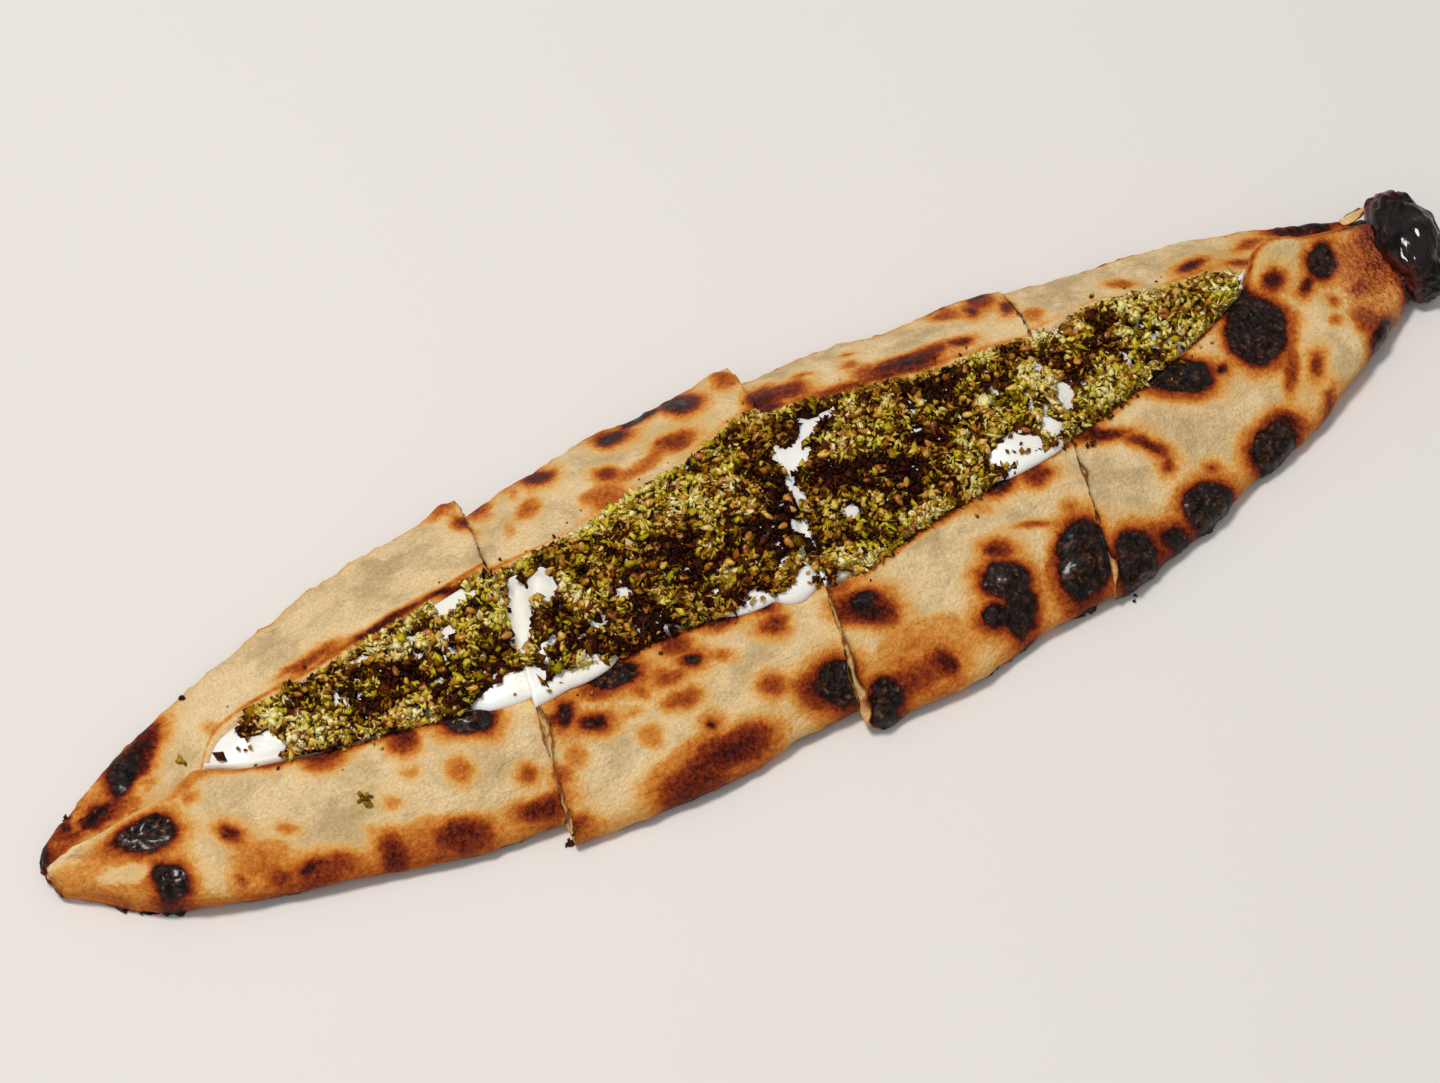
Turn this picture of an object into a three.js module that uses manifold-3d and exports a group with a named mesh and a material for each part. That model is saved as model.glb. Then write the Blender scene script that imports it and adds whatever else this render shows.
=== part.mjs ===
// Labneh manakish: a boat-shaped flatbread, folded lengthwise over a labneh filling,
// strewn with za'atar and cut across into four slices that still lie together.
// Millimetres. +X runs from the plain tip to the charred tip, +Y to the far flap, +Z up.

import * as THREE from 'three';
import { mergeVertices } from 'three/addons/utils/BufferGeometryUtils.js';
import Module from 'manifold-3d';

const wasm = await Module();
wasm.setup();

// ---- Driving dimensions ----

// Outline of the folded boat, seen from above.
const boat = {
  halfWidth: 46,
  plainReach: 172, // where the outline would close at the plain tip
  plainTaper: 0.65,
  charredReach: 176,
  charredTaper: 0.75,
  edgeWave: 0.7, // unevenness of the outline
};

// The rolled-out dough.
const dough = {
  thickness: 3.2,
  tipThickness: 2.3,
  thinsFrom: 118,
  thinsTo: 166,
  foldSlack: 0.3, // how far the two layers of a fold stay apart
  crown: 1.1, // how much a flap bulges up between fold and lip
  lipWave: 0.7,
};

// The mouth of the boat between the two lips.
const mouth = {
  centre: -4.5,
  halfLength: 131,
  halfWidth: 17,
  fullness: 0.7,
  bulge: 5.5, // the filling pushes the lips apart here
  bulgeAt: 5,
  bulgeReach: 19,
};

// The filling, which holds the lips up over the flat base.
const filling = {
  height: 10,
  reach: 142,
  fullness: 0.7,
  gap: 0.3, // between two solids that touch
  mound: 2.2, // labneh above the lips, at mid mouth
  narrowest: 1.6, // half mouth at which the labneh ends
};

// Where the near flap laps over the far one, beyond the ends of the mouth.
const lap = {
  length: 16, // run over which the lap builds up
  lift: 5, // half mouth below which the near lip climbs over the far one
  depth: 8,
  climb: 0.2, // rise of the near lip for each millimetre of lap
  plainSeam: 0.12, // near lip, as a share of the half width
  charredSeam: 0.6,
};

// The three knife cuts: place on the centre line, and lean of the cut along X per Y.
const cuts = [
  { at: -64.7, lean: 0.18 },
  { at: 2.7, lean: 0.2 },
  { at: 66.4, lean: 0.25 },
];
const tips = { plain: -168.5, charred: 166 };
const cutGap = 0.9;

// Each slice slid a little off the straight line when it was cut.
// centre: its middle at both ends. mouthShift: the mouth's place on it.
const slices = [
  { centre: [-2.6, 1.2], mouthShift: -1.2, tipShift: 7 },
  { centre: [-3.6, 0.5], mouthShift: 1.6, tipShift: 0 },
  { centre: [-5.0, -4.8], mouthShift: 5.0, tipShift: 0 },
  { centre: [-5.8, 4.2], mouthShift: 6.8, tipShift: 3 },
];

// Labneh squeezed over the near lip: place, reach along the lip and spread across it.
const squeezes = [
  { at: -72, reach: 12, spread: 4.5 },
  { at: -57, reach: 9, spread: 4 },
  { at: -8, reach: 9, spread: 4 },
  { at: 58, reach: 9, spread: 3 },
];
const squeeze = { least: 0.4, height: 0.45 };

// Za'atar bed on the labneh.
const bed = {
  from: -126,
  to: 118,
  thickness: 2.1,
  edge: 0.7,
  margin: 2.2, // bare labneh beside each lip
  bump: 0.5,
};

// Grains that stand out of the bed: sesame seeds, and every third one a flake of leaf.
const grain = {
  sesame: [3.1, 2.0, 1.2],
  leaf: [3.2, 2.0, 0.8],
  counts: [24, 42, 40, 16], // on each slice
  border: 3, // bare run at both ends of a bed
  seed: 11,
};

// Burnt knob of dough at the charred tip.
const knob = { centre: [164, 2.6, 7], radii: [8.4, 15.2, 7.4], turn: -0.27, roughness: 0.09, flatAt: 0.94 };

// Fineness of the meshes.
const fine = { flap: 4, pocket: 3, fold: 4, base: 3, mouth: 9, stationStep: 6.6, knob: 2 };

const finish = {
  crust: { color: 0xdfc08d, roughness: 0.75, metalness: 0 },
  labneh: { color: 0xf1eee4, roughness: 0.35, metalness: 0 },
  zaatar: { color: 0x6b6a1f, roughness: 0.85, metalness: 0 },
};

// ---- Small helpers ----

function mix(a, b, t) {
  return a + (b - a) * t;
}

function smooth(from, to, value) {
  return THREE.MathUtils.smoothstep(value, from, to);
}

// Slow unevenness between -1 and 1.
function wave(s, phase) {
  return 0.65 * Math.sin(s / 8.3 + phase) + 0.35 * Math.sin(s / 4.7 + 2.1 * phase);
}

// Seeded random numbers from 0 to 1.
function randomSource(seed) {
  let state = seed;
  return () => {
    state = (Math.imul(state, 1664525) + 1013904223) >>> 0;
    return state / 2 ** 32;
  };
}

// ---- The boat's form, by the place s along it ----

function halfWidth(s) {
  const reach = s < 0 ? boat.plainReach : boat.charredReach;
  const taper = s < 0 ? boat.plainTaper : boat.charredTaper;
  return boat.halfWidth * (1 - (s / reach) ** 2) ** taper;
}

function thickness(s) {
  return mix(dough.thickness, dough.tipThickness, smooth(dough.thinsFrom, dough.thinsTo, Math.abs(s)));
}

function mouthHalf(s) {
  const u = Math.min(1, Math.abs(s - mouth.centre) / mouth.halfLength);
  const bulge = mouth.bulge * Math.exp(-(((s - mouth.bulgeAt) / mouth.bulgeReach) ** 2));
  return mouth.halfWidth * (1 - u * u) ** mouth.fullness + bulge;
}

function fillHeight(s) {
  const u = Math.min(1, Math.abs(s / filling.reach));
  return filling.height * (1 - u ** 3) ** filling.fullness;
}

// 0 along the open mouth, 1 where the near flap lies on the far one.
function lapped(s) {
  const pastEnd = Math.abs(s - mouth.centre) - mouth.halfLength;
  return smooth(-lap.length / 2, lap.length / 2, pastEnd);
}

// Lean of the cross-sections, from one cut to the next.
function lean(s) {
  const places = [tips.plain, ...cuts.map((cut) => cut.at), tips.charred];
  const leans = [0, ...cuts.map((cut) => cut.lean), 0];
  const next = Math.max(1, places.findIndex((place) => s <= place));
  return mix(leans[next - 1], leans[next], (s - places[next - 1]) / (places[next] - places[next - 1]));
}

// Lip places across the boat, from its centre line.
function lips(slice, s) {
  const tipward = Math.min(1, Math.abs(s) / mouth.halfLength) ** 4;
  const shift = slice.mouthShift + slice.tipShift * tipward;
  const seam = halfWidth(s) * (s < 0 ? lap.plainSeam : lap.charredSeam);
  const overlap = Math.min(lap.depth, halfWidth(s) / 2);
  const nearOpen = shift - mouthHalf(s) + dough.lipWave * wave(s, 1);
  const farOpen = shift + mouthHalf(s) + dough.lipWave * wave(s, 4);
  return {
    near: mix(nearOpen, seam, lapped(s)),
    far: mix(farOpen, seam - overlap, lapped(s)),
  };
}

// ---- Cross-section of the folded sheet ----

// One flap with its fold, as points of the sheet's middle with outward normals, from the lip
// to the foot of the fold. It is drawn for the near side: `edge` is the outline's place,
// `lipAt` the lip's place, `lipTop` the lip's height and `crown` the flap's bulge.
function flapLine({ edge, lipAt, lipTop, foldRadius, sheet, crown }) {
  const centre = new THREE.Vector2(edge + foldRadius + sheet / 2, foldRadius + sheet / 2);
  const slope = Math.atan2(lipTop - centre.y - foldRadius, lipAt - centre.x);
  const start = new THREE.Vector2(-Math.sin(slope), Math.cos(slope)).multiplyScalar(foldRadius).add(centre);
  const run = new THREE.Vector2(lipAt, lipTop).sub(start);
  const along = run.clone().normalize();
  const up = new THREE.Vector2(-along.y, along.x);
  const points = [];
  for (let i = 0; i < fine.flap; i += 1) {
    const u = 1 - i / fine.flap;
    const rise = 4 * crown * u * (1 - u);
    const turn = (4 * crown * (1 - 2 * u)) / run.length();
    const at = start.clone().addScaledVector(run, u).addScaledVector(up, rise);
    points.push({ y: at.x, z: at.y, normal: up.clone().addScaledVector(along, -turn).normalize() });
  }
  for (let i = 0; i <= fine.fold; i += 1) {
    const angle = mix(Math.PI / 2 + slope, 1.5 * Math.PI, i / fine.fold);
    const normal = new THREE.Vector2(Math.cos(angle), Math.sin(angle));
    const at = centre.clone().addScaledVector(normal, foldRadius);
    points.push({ y: at.x, z: at.y, normal });
  }
  return points;
}

function mirrored(point) {
  return { y: -point.y, z: point.z, normal: new THREE.Vector2(-point.normal.x, point.normal.y) };
}

// The whole sheet's middle line, from the near lip round under the base to the far lip.
function sheetLine(slice, s) {
  const sheet = thickness(s);
  const lip = lips(slice, s);
  const open = smooth(0, lap.lift, mouthHalf(s));
  const farTop = 1.5 * sheet + Math.max(filling.gap, fillHeight(s));
  const overFar = (sheet + filling.gap) * (1 - open) + lap.climb * Math.max(0, lip.near - lip.far);
  const near = flapLine({
    edge: boat.edgeWave * wave(s, 2) - halfWidth(s),
    lipAt: lip.near,
    lipTop: farTop + overFar,
    foldRadius: (sheet + mix(dough.foldSlack, sheet + 2 * filling.gap, lapped(s))) / 2,
    sheet,
    crown: dough.crown * open,
  });
  const far = flapLine({
    edge: boat.edgeWave * wave(s, 3) - halfWidth(s),
    lipAt: -lip.far,
    lipTop: farTop,
    foldRadius: (sheet + dough.foldSlack) / 2,
    sheet,
    crown: dough.crown * open,
  }).map(mirrored).reverse();
  const base = [];
  for (let i = 1; i < fine.base; i += 1) {
    base.push({
      y: mix(near[near.length - 1].y, far[0].y, i / fine.base),
      z: sheet / 2,
      normal: new THREE.Vector2(0, -1),
    });
  }
  return [...near, ...base, ...far];
}

function offset(point, distance) {
  return { y: point.y + point.normal.x * distance, z: point.z + point.normal.y * distance };
}

// ---- Closed solids from rings of points ----

// Ends of a slice along the boat.
function span(index) {
  const from = index === 0 ? tips.plain : cuts[index - 1].at + cutGap / 2;
  const to = index === cuts.length ? tips.charred : cuts[index].at - cutGap / 2;
  return [from, to];
}

// Stations along a slice, a little closer together at its ends.
function stations(index) {
  const [from, to] = span(index);
  const count = Math.ceil((to - from) / fine.stationStep);
  return Array.from({ length: count + 1 }, (_, i) => {
    const t = i / count;
    return mix(from, to, t - 0.03 * Math.sin(2 * Math.PI * t));
  });
}

// A point of a slice's section at s, as a point in space.
function place(index, s, point) {
  const [from, to] = span(index);
  const [centreFrom, centreTo] = slices[index].centre;
  const centre = mix(centreFrom, centreTo, (s - from) / (to - from));
  return new THREE.Vector3(s + lean(s) * point.y, centre + point.y, point.z);
}

function geometryFrom(positions, triangles) {
  const geometry = new THREE.BufferGeometry();
  geometry.setAttribute('position', new THREE.Float32BufferAttribute(positions, 3));
  geometry.setIndex(triangles);
  return geometry;
}

function endCap(ring) {
  return THREE.ShapeUtils.triangulateShape(ring.map((point) => new THREE.Vector2(point.y, point.z)), []);
}

// Rings of equal length, joined one to the next, with both ends closed.
function loft(rings) {
  const size = rings[0].length;
  const last = (rings.length - 1) * size;
  const positions = rings.flat().flatMap((point) => point.toArray());
  const triangles = [];
  for (let start = 0; start < last; start += size) {
    for (let i = 0; i < size; i += 1) {
      const a = start + i;
      const b = start + ((i + 1) % size);
      triangles.push(a, b, b + size, a, b + size, a + size);
    }
  }
  endCap(rings[0]).forEach(([a, b, c]) => triangles.push(c, b, a));
  endCap(rings[rings.length - 1]).forEach(([a, b, c]) => triangles.push(last + a, last + b, last + c));
  return geometryFrom(positions, triangles);
}

function toSolid(geometry) {
  const bare = geometry.clone();
  bare.deleteAttribute('normal');
  bare.deleteAttribute('uv');
  const merged = mergeVertices(bare);
  const mesh = new wasm.Mesh({
    numProp: 3,
    vertProperties: Float32Array.from(merged.attributes.position.array),
    triVerts: Uint32Array.from(merged.index.array),
  });
  return new wasm.Manifold(mesh);
}

// A body with others fused to it.
function fused(body, others) {
  const solid = others.reduce((whole, other) => whole.add(toSolid(other)), toSolid(body));
  const mesh = solid.getMesh();
  return geometryFrom(Array.from(mesh.vertProperties), Array.from(mesh.triVerts));
}

// ---- Bread ----

function breadSlice(index) {
  return loft(stations(index).map((s) => {
    const sheet = thickness(s);
    const line = sheetLine(slices[index], s);
    const outer = line.map((point) => offset(point, sheet / 2));
    const inner = line.map((point) => offset(point, -sheet / 2)).reverse();
    return [...outer, ...inner].map((point) => place(index, s, point));
  }));
}

// An uneven lump of burnt dough, flat underneath.
function burntKnob() {
  const geometry = new THREE.IcosahedronGeometry(1, fine.knob);
  const position = geometry.attributes.position;
  const point = new THREE.Vector3();
  for (let i = 0; i < position.count; i += 1) {
    point.fromBufferAttribute(position, i);
    const rough = Math.sin(5 * point.x + 3 * point.z) * Math.sin(4 * point.y + 1);
    point.multiplyScalar(1 + knob.roughness * rough);
    position.setXYZ(i, point.x, point.y, Math.max(point.z, -knob.flatAt));
  }
  geometry.scale(...knob.radii);
  geometry.rotateZ(knob.turn);
  geometry.translate(...knob.centre);
  return geometry;
}

// ---- Labneh ----

// How far the labneh spreads over the near lip at s.
function spreadOverLip(s) {
  return squeezes.reduce((most, { at, reach, spread }) => {
    const u = Math.min(1, Math.abs(s - at) / reach);
    return Math.max(most, spread * Math.sqrt(1 - u * u));
  }, squeeze.least);
}

// Top of the labneh between the lips: points across the mouth, near to far.
function labnehTop(slice, s) {
  const sheet = thickness(s);
  const line = sheetLine(slice, s);
  const nearLip = offset(line[0], sheet / 2);
  const farLip = offset(line[line.length - 1], sheet / 2);
  const from = nearLip.y + filling.gap;
  const to = farLip.y - filling.gap;
  const margin = Math.min(bed.margin, (to - from) / 5);
  const mound = filling.mound * smooth(0, 12, mouthHalf(s));
  const lift = 2 * filling.gap + squeeze.height * spreadOverLip(s);
  const inner = fine.mouth - 2;
  const across = [from];
  for (let i = 0; i <= inner; i += 1) {
    across.push(mix(from + margin, to - margin, i / inner));
  }
  across.push(to);
  return across.map((y) => {
    const t = (y - from) / (to - from);
    return { y, z: mix(nearLip.z + lift, farLip.z, t) + 4 * mound * t * (1 - t) };
  });
}

// Section of the labneh: under the near flap, along the base, up under the far flap, back over
// the mouth, and down over the near lip as far as it spreads.
function labnehRing(slice, s) {
  const sheet = thickness(s);
  const line = sheetLine(slice, s);
  const away = -sheet / 2 - filling.gap;
  const near = line.slice(0, fine.pocket + 1).map((point) => offset(point, away));
  const far = line.slice(-fine.pocket - 1).map((point) => offset(point, away));
  const base = [];
  for (let i = 0; i <= fine.base; i += 1) {
    base.push({
      y: mix(near[fine.pocket].y, far[0].y, i / fine.base),
      z: sheet + filling.gap,
    });
  }
  near[0].y += filling.gap;
  far[fine.pocket].y -= filling.gap;
  const lipEdge = offset(line[0], sheet / 2 + filling.gap);
  const flapBack = offset(line[1], sheet / 2 + filling.gap);
  const flapRun = Math.hypot(flapBack.y - lipEdge.y, flapBack.z - lipEdge.z);
  const spread = spreadOverLip(s);
  const foot = {
    y: mix(lipEdge.y, flapBack.y, spread / flapRun),
    z: mix(lipEdge.z, flapBack.z, spread / flapRun),
  };
  const lobe = [
    { y: foot.y + 0.1 * spread, z: foot.z + squeeze.height * spread },
    foot,
    { y: lipEdge.y + filling.gap, z: lipEdge.z },
  ];
  return [...near, ...base, ...far, ...labnehTop(slice, s).reverse(), ...lobe];
}

function hasLabneh(s) {
  return mouthHalf(s) > filling.narrowest;
}

function labnehSlice(index) {
  return loft(stations(index).filter(hasLabneh).map((s) => (
    labnehRing(slices[index], s).map((point) => place(index, s, point))
  )));
}

// ---- Za'atar ----

function bedStations(index) {
  const bare = index === 0 ? 0 : 1; // labneh shows just past each cut
  return stations(index).slice(bare).filter((s) => s > bed.from && s < bed.to);
}

// Underside and top of the bed at s, near to far.
function bedLines(slice, s) {
  const under = labnehTop(slice, s).slice(1, -1).map(({ y, z }) => ({ y, z: z + filling.gap }));
  const top = under.map(({ y, z }, i) => {
    const t = i / (under.length - 1);
    const full = Math.sqrt(Math.sin(Math.PI * t));
    const bump = bed.bump * Math.sin(s / 2.1 + y / 1.7) * Math.sin(s / 3.4 - y / 2.3);
    return { y, z: z + bed.edge + (bed.thickness - bed.edge + bump) * full };
  });
  return { under, top };
}

function bedBody(index) {
  return loft(bedStations(index).map((s) => {
    const { under, top } = bedLines(slices[index], s);
    return [...under, ...top.reverse()].map((point) => place(index, s, point));
  }));
}

// A point on top of the bed at s, with t from 0 at its near side to 1 at its far side.
function onBed(index, s, t) {
  const { top } = bedLines(slices[index], s);
  const column = Math.floor(t * (top.length - 1));
  const part = t * (top.length - 1) - column;
  return place(index, s, {
    y: mix(top[column].y, top[column + 1].y, part),
    z: mix(top[column].z, top[column + 1].z, part),
  });
}

// Grains spread evenly over a bed, each turned its own way and half sunk in it.
function grains(index) {
  const random = randomSource(grain.seed + index);
  const along = bedStations(index);
  const from = along[0] + grain.border;
  const to = along[along.length - 1] - grain.border;
  const golden = (Math.sqrt(5) - 1) / 2;
  const count = grain.counts[index];
  return Array.from({ length: count }, (_, i) => {
    const isLeaf = i % 3 === 2;
    const shape = isLeaf ? new THREE.BoxGeometry(1, 1, 1) : new THREE.IcosahedronGeometry(0.5, 0);
    const at = onBed(index, mix(from, to, (i + 0.5) / count), 0.14 + 0.72 * ((i * golden) % 1));
    shape.scale(...(isLeaf ? grain.leaf : grain.sesame));
    shape.rotateX(random() - 0.5);
    shape.rotateY(random() - 0.5);
    shape.rotateZ(2 * Math.PI * random());
    shape.translate(at.x, at.y, at.z);
    return shape;
  });
}

// ---- Assembly ----

function node(name, geometry, look) {
  const mesh = new THREE.Mesh(geometry, new THREE.MeshStandardMaterial(look));
  mesh.name = name;
  return mesh;
}

const manakish = new THREE.Group();
slices.forEach((slice, index) => {
  const bread = breadSlice(index);
  const charred = index === slices.length - 1;
  manakish.add(
    node(`bread_${index + 1}`, charred ? fused(bread, [burntKnob()]) : bread, finish.crust),
    node(`labneh_${index + 1}`, labnehSlice(index), finish.labneh),
    node(`zaatar_${index + 1}`, fused(bedBody(index), grains(index)), finish.zaatar),
  );
});

// The origin is under the middle of the whole, on the surface that it rests on.
const box = new THREE.Box3().setFromObject(manakish);
const middle = box.getCenter(new THREE.Vector3());
manakish.position.set(-middle.x, -middle.y, -box.min.z);

export default manakish;
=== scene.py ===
# Labneh manakish: a boat-shaped flatbread folded over labneh, strewn with za'atar and cut
# into four slices. Lengths are in millimetres until a mesh is written.

import math

import bmesh
import bpy
import numpy as np
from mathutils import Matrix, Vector


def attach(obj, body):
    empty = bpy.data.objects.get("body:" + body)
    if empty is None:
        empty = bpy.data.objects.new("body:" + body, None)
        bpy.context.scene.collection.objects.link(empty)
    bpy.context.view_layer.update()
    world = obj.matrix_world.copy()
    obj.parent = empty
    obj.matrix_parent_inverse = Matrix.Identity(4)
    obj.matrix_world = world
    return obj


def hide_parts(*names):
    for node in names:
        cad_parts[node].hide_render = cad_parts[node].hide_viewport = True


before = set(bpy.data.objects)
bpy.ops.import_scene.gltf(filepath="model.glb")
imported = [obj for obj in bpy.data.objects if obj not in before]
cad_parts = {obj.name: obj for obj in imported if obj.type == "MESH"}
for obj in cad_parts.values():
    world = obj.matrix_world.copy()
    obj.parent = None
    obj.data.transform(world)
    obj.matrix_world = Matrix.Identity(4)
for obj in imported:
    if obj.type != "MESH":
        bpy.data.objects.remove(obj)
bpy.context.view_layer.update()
mm = 0.001
boatMiddle = (-2.185, 2.26)  # where the boat's own x = 0, y = 0 lies in the frame
sliceCount = 4


# The form, with the same driving dimensions as the solids

boat = dict(
    halfWidth=46,
    plainReach=172, plainTaper=0.65,
    charredReach=176, charredTaper=0.75,
    edgeWave=0.7,
)
dough = dict(
    thickness=3.2,
    tipThickness=2.3, thinsFrom=118, thinsTo=166,
    foldSlack=0.3,  # room left inside a fold
    crown=1.1,  # height of a flap's arch
    lipWave=0.7,
)
mouth = dict(centre=-4.5, halfLength=131, halfWidth=17, fullness=0.7, bulge=5.5, bulgeAt=5, bulgeReach=19)
filling = dict(height=10, reach=142, fullness=0.7, gap=0.3, mound=2.2, narrowest=1.6)
lap = dict(length=16, lift=5, depth=8, climb=0.2, plainSeam=0.12, charredSeam=0.6)
cuts = dict(at=(-64.7, 2.7, 66.4), lean=(0.18, 0.2, 0.25), gap=0.9)
reachOver = (0, 0.8, 1.0, 0.2)  # how much further each slice reaches to the one before it
tips = dict(plain=-168.5, charred=166)
slices = [
    dict(centre=(-2.6, 1.2), mouthShift=-1.2, tipShift=7),
    dict(centre=(-3.6, 0.5), mouthShift=1.6, tipShift=0),
    dict(centre=(-5.0, -4.8), mouthShift=5.0, tipShift=0),
    dict(centre=(-5.8, 4.2), mouthShift=6.8, tipShift=3),
]
squeezes = [  # labneh pressed out over the near lip: place, reach along it, spread across it
    (-64, 18, 2.9),
    (-54, 12, 2.7),
    (-14, 13, 1.9),
    (-4, 7, 3.4),
    (56, 14, 2.3),
]
squeeze = dict(least=0.4, height=0.45)
bed = dict(start=-126, end=118, thickness=2.1)


def mix(a, b, t):
    return a + (b - a) * t


def smooth(low, high, value):
    t = np.clip((value - low) / (high - low), 0, 1)
    return t * t * (3 - 2 * t)


def wave(s, phase):
    return 0.65 * np.sin(s / 8.3 + phase) + 0.35 * np.sin(s / 4.7 + 2.1 * phase)


def hashed(ix, iy, iz, seed):
    h = (ix * 0x8DA6B343 + iy * 0xD8163841 + iz * 0xCB1AB31F + seed * 0x9E3779B9) & 0xFFFFFFFF
    h = ((h ^ (h >> 15)) * 0x2C1B3C6D) & 0xFFFFFFFF
    h = ((h ^ (h >> 12)) * 0x297A2D39) & 0xFFFFFFFF
    return (h ^ (h >> 15)) / 0x7FFFFFFF - 1


# smooth noise from -1 to 1 at the places p (last axis x, y, z), with lumps about size mm wide
def noise(p, size, seed=0):
    q = p / size
    cell = np.floor(q).astype(np.int64)
    f = q - cell
    f = f * f * f * (f * (f * 6 - 15) + 10)
    total = 0
    for dx in (0, 1):
        for dy in (0, 1):
            for dz in (0, 1):
                weight = (
                    (f[..., 0] if dx else 1 - f[..., 0])
                    * (f[..., 1] if dy else 1 - f[..., 1])
                    * (f[..., 2] if dz else 1 - f[..., 2])
                )
                total = total + weight * hashed(
                    cell[..., 0] + dx, cell[..., 1] + dy, cell[..., 2] + dz, seed
                )
    return total


def roughNoise(p, size, seed=0, layers=3):
    total, amount = 0, 1.0
    for k in range(layers):
        total = total + amount * noise(p, size / 2**k, seed + 31 * k)
        amount *= 0.5
    return total / 1.75


def halfWidth(s):
    reach = np.where(s < 0, boat["plainReach"], boat["charredReach"])
    taper = np.where(s < 0, boat["plainTaper"], boat["charredTaper"])
    return boat["halfWidth"] * (1 - (s / reach) ** 2) ** taper


def thickness(s):
    thin = smooth(dough["thinsFrom"], dough["thinsTo"], np.abs(s))
    return mix(dough["thickness"], dough["tipThickness"], thin)


def mouthHalf(s):
    u = np.minimum(1, np.abs(s - mouth["centre"]) / mouth["halfLength"])
    bulge = mouth["bulge"] * np.exp(-(((s - mouth["bulgeAt"]) / mouth["bulgeReach"]) ** 2))
    return mouth["halfWidth"] * (1 - u * u) ** mouth["fullness"] + bulge


def fillHeight(s):
    u = np.minimum(1, np.abs(s / filling["reach"]))
    return filling["height"] * (1 - u**3) ** filling["fullness"]


def lapped(s):
    pastEnd = np.abs(s - mouth["centre"]) - mouth["halfLength"]
    return smooth(-lap["length"] / 2, lap["length"] / 2, pastEnd)


def lean(s):
    places = (tips["plain"],) + cuts["at"] + (tips["charred"],)
    return np.interp(s, places, (0,) + cuts["lean"] + (0,))


def span(index):
    start = tips["plain"] if index == 0 else cuts["at"][index - 1] + cuts["gap"] / 2
    end = tips["charred"] if index == sliceCount - 1 else cuts["at"][index] - cuts["gap"] / 2
    return start, end


# a section's point at the place s along the boat, in space
def place(index, s, y, z):
    start, end = span(index)
    a, b = slices[index]["centre"]
    centre = mix(a, b, (s - start) / (end - start))
    return np.stack(np.broadcast_arrays(s + lean(s) * y, centre + y, z), axis=-1)


# One flap and its fold, from the lip to the foot of the fold: places across and up, the way
# out of the dough, and how far along the dough each point is from the lip.
def flapLine(edge, lipAt, lipTop, foldRadius, sheet, crown, flapSteps, foldSteps):
    centreY, centreZ = edge + foldRadius + sheet / 2, foldRadius + sheet / 2
    slope = np.arctan2(lipTop - centreZ - foldRadius, lipAt - centreY)
    startY, startZ = centreY - foldRadius * np.sin(slope), centreZ + foldRadius * np.cos(slope)
    runY, runZ = lipAt - startY, lipTop - startZ
    length = np.hypot(runY, runZ)
    alongY, alongZ = runY / length, runZ / length
    rise = 4 * crown * flapSteps * (1 - flapSteps)
    turn = 4 * crown * (1 - 2 * flapSteps) / length * smooth(0, 0.2, flapSteps)
    flapY = startY + runY * flapSteps - alongZ * rise
    flapZ = startZ + runZ * flapSteps + alongY * rise
    outY, outZ = -alongZ - alongY * turn, alongY - alongZ * turn
    size = np.hypot(outY, outZ)
    angle = mix(math.pi / 2 + slope, 1.5 * math.pi, foldSteps)
    foldY, foldZ = centreY + foldRadius * np.cos(angle), centreZ + foldRadius * np.sin(angle)
    fromLip = [length * (1 - flapSteps), length + foldRadius * (angle - math.pi / 2 - slope)]
    return (
        np.concatenate([flapY, foldY], 1),
        np.concatenate([flapZ, foldZ], 1),
        np.concatenate([outY / size, np.cos(angle)], 1),
        np.concatenate([outZ / size, np.sin(angle)], 1),
        np.concatenate(fromLip, 1),
    )


def lips(index, s):
    tipward = np.minimum(1, np.abs(s) / mouth["halfLength"]) ** 4
    shift = slices[index]["mouthShift"] + slices[index]["tipShift"] * tipward
    seam = halfWidth(s) * np.where(s < 0, lap["plainSeam"], lap["charredSeam"])
    overlap = np.minimum(lap["depth"], halfWidth(s) / 2)
    nearOpen = shift - mouthHalf(s) + dough["lipWave"] * wave(s, 1)
    farOpen = shift + mouthHalf(s) + dough["lipWave"] * wave(s, 4)
    return mix(nearOpen, seam, lapped(s)), mix(farOpen, seam - overlap, lapped(s))


nearFlap, nearFold, base, farFold, farFlap = range(5)  # the parts of the sheet


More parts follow.
